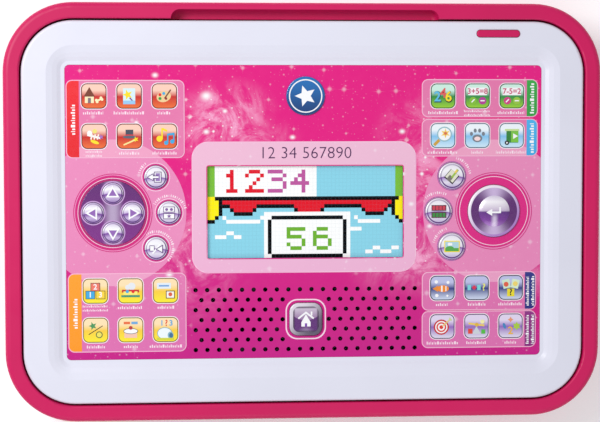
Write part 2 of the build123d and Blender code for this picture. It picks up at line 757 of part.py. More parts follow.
def tablet_rear_case():
    """Back shell with a deeper belly in its near half, and ears for the stand's upper hinge."""
    case = slab(tablet_width, tablet_depth, tablet_radius, tablet_bottom_z, tablet_split_z)
    case = fillet(bottom_edges(case), tablet_bottom_fillet)
    belly_length = belly_far_y - belly_near_y
    belly_y = (belly_far_y + belly_near_y) / 2
    belly = slab(2 * belly_half_width, belly_length, belly_corner_radius,
                 belly_bottom_z, tablet_bottom_z + 1, 0, belly_y)
    case += fillet(bottom_edges(belly), belly_fillet)
    case -= slab(tablet_width - 2 * tablet_wall, tablet_depth - 2 * tablet_wall, tablet_radius - tablet_wall,
                 tablet_bottom_z + tablet_wall, tablet_split_z + 1)
    case -= slab(2 * (belly_half_width - tablet_wall), belly_length - 2 * tablet_wall,
                 belly_corner_radius - tablet_wall, belly_bottom_z + tablet_wall, tablet_split_z, 0, belly_y)
    for side in (-1, 1):
        case += hinge_ears(side, middle_y, pivot_z, tablet_bottom_z + tablet_wall / 2)
        wall = side * belly_half_width
        case += bar(hinge_ear_radius, wall, wall - side * 2 * tablet_wall, glide_y, pivot_z)
        case -= bar(glide_pin_radius + hinge_pin_slack, wall + side, wall - side * glide_pin_length,
                    glide_y, pivot_z)
    for x, y in tablet_screw_places():
        case += disc(screw_post_radius, tablet_bottom_z + fit_gap, tablet_split_z - fit_gap, x, y)
        case -= disc(screw_hole_radius, 0, tablet_split_z + 1, x, y)
        case -= disc(screw_head_radius + key_clearance, 0, tablet_bottom_z + screw_head_height, x, y)
    return case


def tablet_screws():
    tip = tablet_split_z + screw_bite - fit_gap
    return Compound([screw(tablet_bottom_z, tip, x, y) for x, y in tablet_screw_places()])


def glide_shoe(side):
    """Rounded nylon shoe on the belly's side, held by a stub pin."""
    inner = side * (belly_half_width + fit_gap)
    shoe = bar(glide_radius, inner, inner + side * glide_length, glide_y, pivot_z)
    shoe = fillet(shoe.edges().filter_by(GeomType.CIRCLE), seam_bevel)
    return shoe + bar(glide_pin_radius, inner, inner - side * (glide_pin_length - 2 * fit_gap), glide_y,
                      pivot_z)


# ---------------------------------------------------------------- touch panel and screen
def touch_places():
    left = [(x, y) for y in (*touch_top_ys, *touch_bottom_ys) for x in touch_left_xs]
    right = [(x, y) for y in (*touch_top_ys, *touch_bottom_ys) for x in touch_right_xs]
    return left + right


def touch_overlay():
    """Printed face sheet, with each touch pad slightly embossed."""
    sheet = slab(overlay_width - 2 * fit_gap, overlay_depth - 2 * fit_gap, overlay_corner_radius,
                 overlay_bottom_z, overlay_top_z)
    sheet = joined([sheet, *[slab(touch_size, touch_size, touch_corner_radius, overlay_top_z - fit_gap,
                                  overlay_top_z + touch_emboss, x, y) for x, y in touch_places()]])
    sheet -= panel_holes(0, rim_top_z, key_clearance)
    sheet -= disc(arrow_pad_radius + fit_gap, 0, rim_top_z, arrow_pad_x, 0)
    return sheet - slab(screen_width, screen_depth, screen_corner_radius, 0, rim_top_z)


def touch_membrane():
    """Contact sheet between the overlay and the front plate."""
    sheet = slab(overlay_width - 4 * fit_gap, overlay_depth - 4 * fit_gap, overlay_corner_radius,
                 membrane_bottom_z, overlay_bottom_z)
    sheet -= panel_holes(0, rim_top_z, 2 * key_clearance)
    sheet -= disc(arrow_pad_radius + fit_gap, 0, rim_top_z, arrow_pad_x, 0)
    return sheet - block(screen_width + lens_lap, screen_depth + lens_lap, 0, rim_top_z)


def lens_bottom_z():
    return membrane_bottom_z - lens_thickness


def screen_lens():
    return block(screen_width + 2 * lens_lap, screen_depth + 2 * lens_lap, lens_bottom_z(),
                 membrane_bottom_z)


def lcd_size():
    return screen_width + 2 * lcd_lap, screen_depth + 2 * lcd_lap


def lcd_module():
    return block(*lcd_size(), lens_bottom_z() - fit_gap - lcd_thickness + backlight_thickness,
                 lens_bottom_z() - fit_gap)


def lcd_backlight():
    top = lens_bottom_z() - fit_gap - lcd_thickness + backlight_thickness
    return block(*lcd_size(), top - backlight_thickness, top)


def lcd_ribbon():
    """Flexible print from the backlight's near edge down to the main board."""
    _, depth = lcd_size()
    edge_y = -depth / 2
    top = lens_bottom_z() - fit_gap - lcd_thickness + backlight_thickness
    drop = block(ribbon_width, ribbon_thickness, board_top_z, top, 0, edge_y - ribbon_thickness / 2)
    foot = block(ribbon_width, ribbon_reach, board_top_z, board_top_z + ribbon_thickness,
                 0, edge_y - ribbon_thickness + ribbon_reach / 2)
    return drop + foot


def badge():
    """Round raised badge, plain but for a bevelled edge."""
    made = disc(badge_radius, overlay_top_z, overlay_top_z + badge_height, 0, badge_y)
    return fillet(top_edges(made), badge_fillet)


# ---------------------------------------------------------------- electronics in the tablet
def main_board():
    """Circuit board under the keys, with a tongue down to the home key and three chips beneath."""
    board = block(2 * board_half_width, board_far_y - board_near_y, board_bottom_z, board_top_z,
                  0, (board_far_y + board_near_y) / 2)
    board += block(2 * board_tongue_half_width, board_near_y - board_tongue_end_y + 1,
                   board_bottom_z, board_top_z, 0, (board_near_y + board_tongue_end_y + 1) / 2)
    for x, y, width, depth in chips:
        board += block(width, depth, board_bottom_z - chip_height, board_bottom_z + fit_gap, x, y)
    return board


def power_switch():
    """Small board with a tact switch under the power key."""
    board = block(*power_board_size, board_bottom_z, board_top_z, power_x, power_y)
    return board + block(tact_size, power_width, board_top_z - fit_gap,
                         power_key_bottom_z() - power_travel - fit_gap,
                         power_x, power_y)


def speaker_frame():
    """Basket and magnet of the loudspeaker, hanging under the front plate."""
    top = plate_bottom_z - fit_gap
    basket_bottom = top - speaker_basket_height
    frame = disc(speaker_radius, basket_bottom, top, speaker_x, home_y)
    frame += disc(speaker_magnet_radius, basket_bottom - speaker_magnet_height, basket_bottom + fit_gap,
                  speaker_x, home_y)
    well = Cone(speaker_magnet_radius / 2, speaker_cone_radius, speaker_basket_height - speaker_flange)
    return frame - Pos(speaker_x, home_y, top - (speaker_basket_height - speaker_flange) / 2) * well


def speaker_cone():
    """Paper cone with a domed cap, set into the basket."""
    top = plate_bottom_z - 2 * fit_gap
    depth = speaker_basket_height - 2 * speaker_flange
    outer = Cone(speaker_magnet_radius / 2, speaker_cone_radius - 2 * speaker_flange, depth)
    inner = Pos(0, 0, speaker_flange / 2) * outer
    cap = Pos(0, 0, -depth / 2 + speaker_flange / 2) * Cylinder(speaker_magnet_radius / 2, speaker_flange)
    return Pos(speaker_x, home_y, top - depth / 2 - speaker_flange / 2) * (outer - inner + cap)


# ---------------------------------------------------------------- keys that travel
def key_mat(places, dome_places):
    """Rubber sheet with a dome for each key, standing in the key's socket and holding the key up."""
    xs = [x for x, y, reach in places]
    ys = [y for x, y, reach in places]
    reach = max(reach for x, y, reach in places) + mat_margin
    width, depth = max(xs) - min(xs) + 2 * reach, max(ys) - min(ys) + 2 * reach
    center = ((max(xs) + min(xs)) / 2, (max(ys) + min(ys)) / 2)
    sheet = block(width, depth, board_top_z, mat_top_z, *center)
    low, high = mat_top_z - fit_gap, key_bottom_z + dome_socket_depth
    dome = Pos(0, 0, (low + high) / 2) * Cone(dome_radius, dome_top_radius, high - low)
    return joined([sheet, *[Pos(x, y, 0) * dome for x, y in dome_places]])


def left_key_mat():
    keys = [(x, y, radius) for x, y, radius in round_keys().values() if x < 0]
    return key_mat(keys, [(x, y) for x, y, radius in keys])


def right_key_mat():
    keys = [(x, y, radius) for x, y, radius in round_keys().values() if x > 0]
    return key_mat(keys, [(x, y) for x, y, radius in keys])


def home_key_mat():
    return key_mat([(0, home_y, board_tongue_half_width - 2 * mat_margin)], [(0, home_y)])


def dome_socket(x, y):
    """Hollow in a key's underside that its rubber dome sits in."""
    return disc(dome_radius + dome_socket_gap, 0, key_bottom_z + dome_socket_depth, x, y)


def arrow_pad():
    """Fixed purple disc that the four arrow keys stand in."""
    top = overlay_top_z + arrow_pad_proud
    pad = disc(arrow_pad_radius, membrane_bottom_z, top, arrow_pad_x, 0)
    pad = fillet(top_edges(pad), arrow_pad_proud / 2)
    hole_radius = arrow_key_radius + key_clearance
    return pad - [disc(hole_radius, 0, rim_top_z, x, y) for x, y in arrow_places().values()]


def round_key(x, y, radius):
    """Cap with a domed top, and a flange that keeps it under the front plate."""
    top = overlay_top_z + key_proud_height
    cap = disc(radius, key_bottom_z, top, x, y)
    cap = fillet(top_edges(cap), key_edge_fillet)
    cap += disc(radius + key_flange, key_bottom_z, key_flange_top_z, x, y)
    return cap - dome_socket(x, y)


def enter_key():
    """Large round cap with a raised crown in a ring-shaped groove."""
    key = round_key(enter_x, 0.0, enter_radius)
    top = overlay_top_z + key_proud_height
    groove_low = top - enter_crown_height
    groove = disc(enter_crown_radius + enter_crown_height, groove_low, top + 1, enter_x, 0)
    groove -= disc(enter_crown_radius, 0, top + 2, enter_x, 0)
    return key - groove


def home_key():
    """Square cap with rounded corners and a sunk centre inside a raised frame."""
    top = overlay_top_z + key_proud_height
    key = slab(home_size, home_size, home_corner_radius, key_bottom_z, top, 0, home_y)
    key = fillet(top_edges(key), key_edge_fillet)
    sunk = home_size - 4 * (key_edge_fillet + enter_crown_height / 2)
    key -= slab(sunk, sunk, home_corner_radius - 2 * key_edge_fillet, top - enter_crown_height, top + 1,
                0, home_y)
    flange = home_size + 2 * key_flange
    key += slab(flange, flange, home_corner_radius, key_bottom_z, key_flange_top_z, 0, home_y)
    return key - dome_socket(0, home_y)


def power_key_bottom_z():
    return plate_bottom_z - key_flange_gap - key_flange_thickness


def power_key():
    """Long narrow cap that stands through the bezel's far band."""
    top = tablet_ridge_z - dish_steps[0][1] + power_proud
    radius = power_width / 2 - fit_gap
    key = slab(power_length, power_width, radius, power_key_bottom_z(), top, power_x, power_y)
    key = fillet(top_edges(key), key_edge_fillet)
    flange = (power_length + 2 * key_flange, power_width + 2 * key_flange)
    return key + slab(*flange, radius, power_key_bottom_z(), key_flange_top_z, power_x, power_y)


# ---------------------------------------------------------------- every node
def all_parts():
    parts = {
        "base_upper_case": base_upper_case(),
        "base_lower_case": base_lower_case(),
        "base_screws": base_screws(),
        "battery_door": battery_door(),
        "battery_door_screw": battery_door_screw(),
        "battery_springs": battery_springs(),
        "battery_contacts": battery_contacts(),
        "keyboard_plate": keyboard_plate(),
        "keyboard_keys": keyboard_keys(),
        "keyboard_board": keyboard_board(),
        "base_ribbon_cable": base_ribbon_cable(),
        "stand_panel": stand_panel(),
        "tablet_front_case": tablet_front_case(),
        "tablet_rear_case": tablet_rear_case(),
        "tablet_screws": tablet_screws(),
        "touch_overlay": touch_overlay(),
        "touch_membrane": touch_membrane(),
        "screen_lens": screen_lens(),
        "lcd_module": lcd_module(),
        "lcd_backlight": lcd_backlight(),
        "lcd_ribbon": lcd_ribbon(),
        "badge": badge(),
        "main_board": main_board(),
        "power_switch": power_switch(),
        "speaker_frame": speaker_frame(),
        "speaker_cone": speaker_cone(),
        "left_key_mat": left_key_mat(),
        "right_key_mat": right_key_mat(),
        "home_key_mat": home_key_mat(),
        "arrow_pad": arrow_pad(),
        "enter_key": enter_key(),
        "home_key": home_key(),
        "power_key": power_key(),
    }
    for name, (x, y) in foot_places().items():
        parts[name] = rubber_foot(x, y)
    for index in range(cell_count):
        parts[f"battery_cell_{index + 1}"] = battery_cell(index)
    for name, side in (("left", -1), ("right", 1)):
        parts[f"{name}_glide_rail"] = glide_rail(side)
        parts[f"{name}_glide_shoe"] = glide_shoe(side)
        parts[f"{name}_base_hinge_pin"] = hinge_pin(side, hinge_y)
        parts[f"{name}_tablet_hinge_pin"] = hinge_pin(side, middle_y)
    for name, (x, y, radius) in round_keys().items():
        if name != "enter_key":
            parts[name] = round_key(x, y, radius)
    return parts


os.makedirs("parts", exist_ok=True)
for node, shape in all_parts().items():
    export_step(shape, f"parts/{node}.step")
print(f"stand hinge y {hinge_y:.3f}, middle y {middle_y:.3f}, glide y {glide_y:.3f}, z {pivot_z:.3f}")
print(f"arm {arm_length:.3f}, glide travel {glide_travel:.3f}, swing {open_angle}")
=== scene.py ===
from math import cos, pi, radians, sin

import bmesh
import bpy
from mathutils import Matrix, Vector


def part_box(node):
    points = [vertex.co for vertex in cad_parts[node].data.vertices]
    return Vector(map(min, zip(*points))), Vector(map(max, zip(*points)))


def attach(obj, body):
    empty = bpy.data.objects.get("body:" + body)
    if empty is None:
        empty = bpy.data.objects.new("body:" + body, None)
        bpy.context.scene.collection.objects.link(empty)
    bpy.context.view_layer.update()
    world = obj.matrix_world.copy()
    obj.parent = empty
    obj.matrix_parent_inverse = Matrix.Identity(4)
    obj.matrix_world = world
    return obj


# Looks of the toy tablet: printed face sheet, gel icons, keys, screen picture, plastics, light and camera.
# Metres, +Z up out of the screen, +Y away from the child.
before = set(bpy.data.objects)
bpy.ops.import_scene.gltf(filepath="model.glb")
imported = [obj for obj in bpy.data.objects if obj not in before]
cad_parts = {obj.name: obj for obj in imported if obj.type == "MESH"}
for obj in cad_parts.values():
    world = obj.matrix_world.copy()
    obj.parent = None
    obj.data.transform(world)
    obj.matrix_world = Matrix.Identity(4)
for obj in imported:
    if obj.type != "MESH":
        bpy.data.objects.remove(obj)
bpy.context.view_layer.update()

MM = 0.001
TINY = 0.0001 * MM         # less than any real distance between two points


def rgb(red, green, blue):
    """Linear colour from display values of 0 to 255."""
    def linear(v):
        v = v / 255
        return v / 12.92 if v <= 0.04045 else ((v + 0.055) / 1.055) ** 2.4
    return (linear(red), linear(green), linear(blue), 1.0)


def darker(color, share):
    """The colour's given share, towards black."""
    return tuple(c * share for c in color[:3]) + (1.0,)


# ------------------------------------------------------------------ colours
TRAY_PINK = rgb(206, 18, 92)
BEZEL_WHITE = rgb(226, 226, 240)
REAR_WHITE = rgb(214, 212, 226)
PRINT_TOP = rgb(228, 24, 130)
PRINT_LOW = rgb(198, 26, 134)
GLOW_PINK = rgb(246, 170, 208)
WHITE = rgb(250, 250, 252)
KEY_PURPLE = rgb(118, 48, 158)
DEEP_PURPLE = rgb(82, 28, 118)
RING_MAGENTA = rgb(214, 40, 140)
PALE_LINE = rgb(248, 206, 228)
# colour of the painted highlight on the round key caps
SHEEN = rgb(250, 249, 253)
RED = rgb(228, 14, 30)
ORANGE = rgb(250, 150, 8)
YELLOW = rgb(250, 224, 30)
GREEN = rgb(36, 158, 58)
SKY = rgb(60, 170, 226)
NAVY = rgb(12, 28, 122)
PURPLE = rgb(132, 22, 122)
BLACK = rgb(22, 18, 26)

# ------------------------------------------------------------------ places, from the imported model
TOUCH_EMBOSS = 0.2 * MM
TOUCH_SIZE = 13.5 * MM
sheet_low, sheet_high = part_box("touch_overlay")
FACE_Z = sheet_high[2] - TOUCH_EMBOSS
lens_low, lens_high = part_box("screen_lens")
LENS_LAP = 2.6 * MM
SCREEN = (lens_low[0] + LENS_LAP, lens_low[1] + LENS_LAP, lens_high[0] - LENS_LAP, lens_high[1] - LENS_LAP)
TOUCH_LEFT_XS = (-112.3 * MM, -93.7 * MM, -75.1 * MM)
TOUCH_RIGHT_XS = (74.1 * MM, 92.8 * MM, 111.5 * MM)
TOUCH_TOP_YS = (62.0 * MM, 40.7 * MM)
TOUCH_LOW_YS = (-41.6 * MM, -62.5 * MM)
LAYER = 0.06 * MM          # one printed layer
ARROW_PAD_RADIUS = 17.0 * MM
HOLE_GAP = 0.27 * MM       # the sheet's hole round a key


def middle(node):
    """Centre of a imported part's box."""
    low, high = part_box(node)
    return [(low[i] + high[i]) / 2 for i in range(3)]


# ------------------------------------------------------------------ modelling helpers
def deselect():
    if bpy.context.mode != "OBJECT":
        bpy.ops.object.mode_set(mode="OBJECT")
    bpy.ops.object.select_all(action="DESELECT")


def settle(name):
    """Names the active object and puts its place into its mesh."""
    made = bpy.context.object
    bpy.ops.object.transform_apply(location=True, rotation=True, scale=True)
    made.name = name
    made.data.name = name
    return made


def tube(name, x, y, low, high, radius, sides=48, turn=0.0):
    """Upright disc, or a prism when it has few sides."""
    deselect()
    bpy.ops.mesh.primitive_cylinder_add(vertices=sides, radius=radius, depth=high - low,
                                        location=(x, y, (low + high) / 2), rotation=(0, 0, turn))
    return settle(name)


def bar(name, x, y, low, high, width, depth, turn=0.0):
    """Upright block."""
    deselect()
    bpy.ops.mesh.primitive_cube_add(size=1, location=(x, y, (low + high) / 2), rotation=(0, 0, turn),
                                    scale=(width, depth, high - low))
    return settle(name)


def edit(piece, kind):
    """Opens the piece for editing with nothing selected."""
    deselect()
    bpy.context.view_layer.objects.active = piece
    piece.select_set(True)
    bpy.ops.object.mode_set(mode="EDIT")
    bpy.ops.mesh.select_mode(type=kind)
    bpy.ops.mesh.select_all(action="DESELECT")
    return bmesh.from_edit_mesh(piece.data)


def close_edit():
    bpy.ops.object.mode_set(mode="OBJECT")


def round_corners(piece, radius, steps=8):
    """Rounds the upright edges of a bar."""
    mesh = edit(piece, "EDGE")
    for e in mesh.edges:
        a, b = e.verts
        e.select = abs(a.co.z - b.co.z) > TINY and (a.co.xy - b.co.xy).length < TINY
    bmesh.update_edit_mesh(piece.data)
    bpy.ops.mesh.bevel(offset=radius, segments=steps, affect="EDGES")
    close_edit()
    return piece


def select_top(piece):
    """Opens the piece with the faces that look straight up selected."""
    mesh = edit(piece, "FACE")
    top = max(v.co.z for v in mesh.verts)
    for f in mesh.faces:
        f.select = f.normal.z > 0.9 and f.calc_center_median().z > top - TINY
    bmesh.update_edit_mesh(piece.data)


def crown(piece, steps):
    """Insets and lifts the top face again and again, which makes a soft dome: (inset, lift) pairs."""
    select_top(piece)
    for inset, lift in steps:
        bpy.ops.mesh.inset(thickness=inset, depth=0)
        bpy.ops.transform.translate(value=(0, 0, lift))
    close_edit()


def slab(name, x, y, low, high, width, depth, radius, steps=8):
    """Upright block with rounded corners."""
    return round_corners(bar(name, x, y, low, high, width, depth), radius, steps)


def smooth(piece):
    """Smooth shading, with the steep edges left sharp."""
    deselect()
    bpy.context.view_layer.objects.active = piece
    piece.select_set(True)
    bpy.ops.object.shade_smooth_by_angle(angle=radians(60))


def join(name, pieces):
    deselect()
    for piece in pieces:
        piece.select_set(True)
    bpy.context.view_layer.objects.active = pieces[0]
    if len(pieces) > 1:
        bpy.ops.object.join()
    made = bpy.context.object
    made.name = name
    made.data.name = name
    return made


def tint(piece, low_color, high_color=None, low_y=0.0, high_y=1.0):
    """Stores the print colour on the piece, plain or shaded from low_y up to high_y."""
    mesh = piece.data
    layer = mesh.color_attributes.get("print") or mesh.color_attributes.new("print", "FLOAT_COLOR", "POINT")
    values = []
    for v in mesh.vertices:
        share = 0.0
        if high_color is not None:
            share = min(1.0, max(0.0, (v.co.y - low_y) / (high_y - low_y)))
        top = high_color or low_color
        values += [low_color[i] * (1 - share) + top[i] * share for i in range(4)]
    layer.data.foreach_set("color", values)
    mesh.color_attributes.active_color = layer
    return piece


def cut_out(piece, tool):
    """Takes the tool's space out of the piece, and the tool away."""
    deselect()
    bpy.context.view_layer.objects.active = piece
    piece.select_set(True)
    change = piece.modifiers.new("cut", "BOOLEAN")
    change.operation = "DIFFERENCE"
    change.solver = "EXACT"
    change.object = tool
    bpy.ops.object.modifier_apply(modifier=change.name)
    bpy.data.objects.remove(tool)


def trim(piece, point, outward):
    """Cuts off what lies beyond a plane and closes the cut."""
    edit(piece, "FACE")
    bpy.ops.mesh.select_all(action="SELECT")
    bpy.ops.mesh.bisect(plane_co=point, plane_no=outward, clear_outer=True, use_fill=True)
    close_edit()


def finish_piece(piece, material, body):
    """Gives the piece its material and the body it moves with."""
    piece.data.materials.clear()
    piece.data.materials.append(material)
    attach(piece, body)


def print_on(piece, ink="ink"):
    """Finishes a piece that is printed on the tablet's face sheet."""
    finish_piece(piece, PRINTED[ink], "tablet")


# ------------------------------------------------------------------ materials
class Nodes:
    """Short way to lay out a material's nodes."""

    def __init__(self, name):
        self.material = bpy.data.materials.new(name)
        self.material.use_nodes = True
        self.tree = self.material.node_tree
        self.shader = self.tree.nodes["Principled BSDF"]
        self.place = self.add("ShaderNodeTexCoord").outputs["Object"]

    def add(self, kind, **settings):
        node = self.tree.nodes.new(kind)
        for key, value in settings.items():
            setattr(node, key, value)
        return node

    def link(self, a, b):
        self.tree.links.new(a, b)

    def put(self, socket, value):
        if isinstance(value, (int, float, tuple)):
            socket.default_value = value
        else:
            self.link(value, socket)

    def math(self, operation, a, b=0.0, clamp=False):
        node = self.add("ShaderNodeMath", operation=operation, use_clamp=clamp)
        for socket, value in zip(node.inputs, (a, b)):
            self.put(socket, value)
        return node.outputs[0]

    def mix(self, share, a, b):
        """Colour a, with a share of colour b."""
        node = self.add("ShaderNodeMix", data_type="RGBA")
        self.put(node.inputs[0], share)
        self.put(node.inputs[6], a)
        self.put(node.inputs[7], b)
        return node.outputs[2]

    def length(self, x, y):
        return self.math("SQRT", self.math("ADD", self.math("MULTIPLY", x, x), self.math("MULTIPLY", y, y)))

    def uneven(self, scale, low, high, detail=2.0):
        """Value that wanders between low and high over the piece."""
        return self.ramp(self.noise(scale, detail), 0.3, 0.7, low, high)

    def coat(self, weight, roughness):
        self.shader.inputs["Coat Weight"].default_value = weight
        self.shader.inputs["Coat Roughness"].default_value = roughness

    def stops(self, value, colors):
        """Colour along a value of 0 to 1: (place, colour) pairs."""
        node = self.add("ShaderNodeValToRGB")
        band = node.color_ramp
        while len(band.elements) < len(colors):
            band.elements.new(0.5)
        for element, (place, color) in zip(band.elements, colors):
            element.position = place
            element.color = color
        self.put(node.inputs[0], value)
        return node.outputs[0]

    def around(self, x, y, radius):
        """Offsets from a centre and the distance to it, in shares of a radius."""
        px, py, _ = self.split()
        dx = self.math("DIVIDE", self.math("SUBTRACT", px, x), radius)
        dy = self.math("DIVIDE", self.math("SUBTRACT", py, y), radius)
        return dx, dy, self.length(dx, dy)

    def ramp(self, value, low, high, out_low=0.0, out_high=1.0, smooth_step=True):
        """Value from low to high, turned into out_low to out_high."""
        node = self.add("ShaderNodeMapRange", interpolation_type="SMOOTHSTEP" if smooth_step else "LINEAR")
        for socket, v in zip(node.inputs[:5], (value, low, high, out_low, out_high)):
            self.put(socket, v)
        return node.outputs[0]

    def noise(self, scale, detail=2.0, roughness=0.5, place=None):
        node = self.add("ShaderNodeTexNoise")
        self.link(place or self.place, node.inputs["Vector"])
        node.inputs["Scale"].default_value = scale
        node.inputs["Detail"].default_value = detail
        node.inputs["Roughness"].default_value = roughness
        return node.outputs[0]

    def split(self, vector=None):
        node = self.add("ShaderNodeSeparateXYZ")
        self.link(vector or self.place, node.inputs[0])
        return node.outputs

    def bump(self, height, strength, distance):
        node = self.add("ShaderNodeBump")
        node.inputs["Strength"].default_value = strength
        node.inputs["Distance"].default_value = distance
        self.link(height, node.inputs["Height"])
        self.link(node.outputs[0], self.shader.inputs["Normal"])

    def set(self, **values):
        for name, value in values.items():
            self.put(self.shader.inputs[name.replace("_", " ")], value)


def moulded(name, color, roughness, grain=0.012, coat=0.0, worn=0.04, shine=0.5, well=None):
    """Moulded plastic: fine spark-eroded grain, faint flow marks and uneven gloss.

    The well is half the width and depth of a part; under that part the colour is painted near-black, as
    painted shade in the recess.
    """
    n = Nodes(name)
    shade = n.uneven(14.0, 1.0 - worn, 1.0 + worn, 3.0)
    scaled = n.add("ShaderNodeVectorMath", operation="SCALE")
    scaled.inputs[0].default_value = color[:3]
    n.link(shade, scaled.inputs["Scale"])
    shown = scaled.outputs[0]
    # painted shade: near-black inside the well, the recess under the touch sheet
    if well:
        px, py, _ = n.split()
        edge = 0.1 * MM
        inside = n.math("MULTIPLY", n.ramp(n.math("ABSOLUTE", px), well[0], well[0] - edge),
                        n.ramp(n.math("ABSOLUTE", py), well[1], well[1] - edge))
        shown = n.mix(inside, shown, rgb(26, 6, 20))
    n.set(Base_Color=shown)
    patch = n.noise(60.0, 4.0, 0.6)
    n.set(Roughness=n.ramp(patch, 0.3, 0.7, roughness * 0.88, roughness * 1.12))
    n.shader.inputs["Specular IOR Level"].default_value = shine
    n.coat(coat, 0.12)
    n.bump(n.noise(2600.0), 0.25, grain * MM)
    return n.material


def metal(name, color, roughness, stretch):
    """Turned or rolled metal with fine lines across it."""
    n = Nodes(name)
    mapping = n.add("ShaderNodeMapping")
    n.link(n.place, mapping.inputs[0])
    mapping.inputs["Scale"].default_value = stretch
    lines = n.noise(1500.0, place=mapping.outputs[0])
    n.set(Base_Color=n.mix(lines, darker(color, 0.82), color))
    n.set(Metallic=1.0, Roughness=n.ramp(lines, 0.3, 0.7, roughness * 0.7, roughness * 1.3))
    n.bump(lines, 0.2, 0.01 * MM)
    return n.material


def star_field(n, cell, size, keep, seed, spikes):
    """Brightness of scattered sparkles, one at most in each cell; keep is the share of cells left empty."""
    mapping = n.add("ShaderNodeMapping")
    n.link(n.place, mapping.inputs[0])
    mapping.inputs["Location"].default_value = (seed, seed * 0.7, 0)
    voronoi = n.add("ShaderNodeTexVoronoi", voronoi_dimensions="2D", feature="F1")
    n.link(mapping.outputs[0], voronoi.inputs["Vector"])
    voronoi.inputs["Scale"].default_value = 1 / cell
    voronoi.inputs["Randomness"].default_value = 0.9
    away = n.add("ShaderNodeVectorMath", operation="SUBTRACT")
    n.link(mapping.outputs[0], away.inputs[0])
    n.link(voronoi.outputs["Position"], away.inputs[1])
    x, y, _ = n.split(away.outputs[0])
    far = n.length(x, y)
    luck = n.split(voronoi.outputs["Color"])
    chosen = n.ramp(luck[0], keep, keep + 0.02)
    grown = n.math("MULTIPLY", n.ramp(luck[1], 0.0, 1.0, 0.45, 1.0, False), size)
    bright = n.ramp(n.math("DIVIDE", far, grown), 1.0, 0.1, 0.0, 1.0)
    if spikes:
        cross = n.math("MULTIPLY", n.math("DIVIDE", x, grown), n.math("DIVIDE", y, grown))
        cross = n.math("ABSOLUTE", cross)
        ray = n.math("MULTIPLY", n.ramp(cross, 0.05, 0.0), n.ramp(n.math("DIVIDE", far, grown), 3.2, 0.2))
        bright = n.math("MAXIMUM", bright, ray)
    return n.math("MULTIPLY", bright, chosen)


def glow(n, x, y, reach_x, reach_y):
    """Soft round cloud of light on the print."""
    px, py, _ = n.split()
    dx = n.math("DIVIDE", n.math("SUBTRACT", px, x * MM), reach_x * MM)
    dy = n.math("DIVIDE", n.math("SUBTRACT", py, y * MM), reach_y * MM)
    return n.ramp(n.length(dx, dy), 1.0, 0.0)


# places and sizes on the face sheet, in millimetres
CLOUDS = (
    # x, y, half width, half depth, strength
    (-42, 54, 30, 20, 0.75),
    (-44, 40, 46, 16, 0.60),
    (-58, -20, 34, 46, 0.50),
    (60, 26, 30, 46, 0.60),
    (52, -18, 40, 34, 0.50),
    (62, -28, 26, 16, 0.35),
    (-60, -30, 12, 12, 0.30),
    (110, -34, 50, 20, 0.30),
)
BURSTS = ((-53, 62, 6.0), (-43, 54, 2.6), (-53, 43, 3.6), (-7, 40, 3.0), (-80, 73, 3.4), (-90, 48, 2.6),
          (52, 43, 3.2), (67, -8, 3.0), (-73, -33, 4.0), (57, 4, 3.0))      # x, y, radius
PALE_CIRCLES = {"left_circle": (-102.8, 39.0), "right_circle": (101.9, 38.5)}      # x, radius
SHADE_LOW, SHADE_HIGH = -78, 30      # the ground turns from its low to its high colour between these
GRILLE_TOP = -33          # no sparkles are printed over the grille
GRILLE_HALF_WIDTH = 62


def print_ink(name, high_color, low_color, haze, sparkle, discs=0.0):
    """Printed sheet: shaded ground, clouds of light and scattered sparkles, under a glossy film.

    Haze, sparkle and discs are the strengths of the clouds, the stars and the circles seen through a panel.
    """
    n = Nodes(name)
    px, py, _ = n.split()
    ground = n.mix(n.ramp(py, SHADE_LOW * MM, SHADE_HIGH * MM, smooth_step=False), low_color, high_color)
    if discs:
        for x, radius in PALE_CIRCLES.values():
            _, _, far = n.around(x * MM, 0, radius * MM)
            ground = n.mix(n.ramp(far, 1.004, 0.996, 0.0, discs), ground, rgb(250, 206, 226))
    cloud = 0.0
    for x, y, reach_x, reach_y, strength in CLOUDS:
        cloud = n.math("ADD", n.math("MULTIPLY", glow(n, x, y, reach_x, reach_y), strength), cloud)
    smoke = n.noise(52.0, 9.0, 0.70)
    smoke.node.inputs["Distortion"].default_value = 1.1
    wisps = n.ramp(smoke, 0.38, 0.66, 0.05, 1.6)
    cloud = n.math("MULTIPLY", n.math("MULTIPLY", cloud, wisps), haze, clamp=True)
    ground = n.mix(cloud, ground, GLOW_PINK)
    dust = star_field(n, 2.6 * MM, 0.36 * MM, 0.50, 0.013, False)
    small = star_field(n, 5.5 * MM, 0.8 * MM, 0.45, 0.027, False)
    large = star_field(n, 14.0 * MM, 1.9 * MM, 0.35, 0.041, True)
    stars = n.math("ADD", n.math("MULTIPLY", dust, 0.45), n.math("MULTIPLY", small, 0.75))
    near_cloud = n.ramp(cloud, 0.02, 0.30, 0.35, 1.0)
    stars = n.math("MULTIPLY", n.math("ADD", stars, large), near_cloud)
    above_grille = n.ramp(py, (GRILLE_TOP - 3) * MM, (GRILLE_TOP + 3) * MM)
    aside = n.math("ABSOLUTE", px)
    beside_grille = n.ramp(aside, (GRILLE_HALF_WIDTH - 2) * MM, (GRILLE_HALF_WIDTH + 2) * MM)
    stars = n.math("MULTIPLY", stars, n.math("MAXIMUM", above_grille, beside_grille))
    for x, y, reach in BURSTS:
        stars = n.math("ADD", n.math("POWER", glow(n, x, y, reach, reach * 0.8), 2.2), stars)
    stars = n.math("MULTIPLY", stars, sparkle, clamp=True)
    n.set(Base_Color=n.mix(stars, ground, WHITE), Roughness=n.uneven(220.0, 0.32, 0.42))
    n.shader.inputs["Specular IOR Level"].default_value = 0.32
    n.coat(0.05, 0.2)
    n.bump(n.noise(900.0), 0.08, 0.01 * MM)
    return n.material


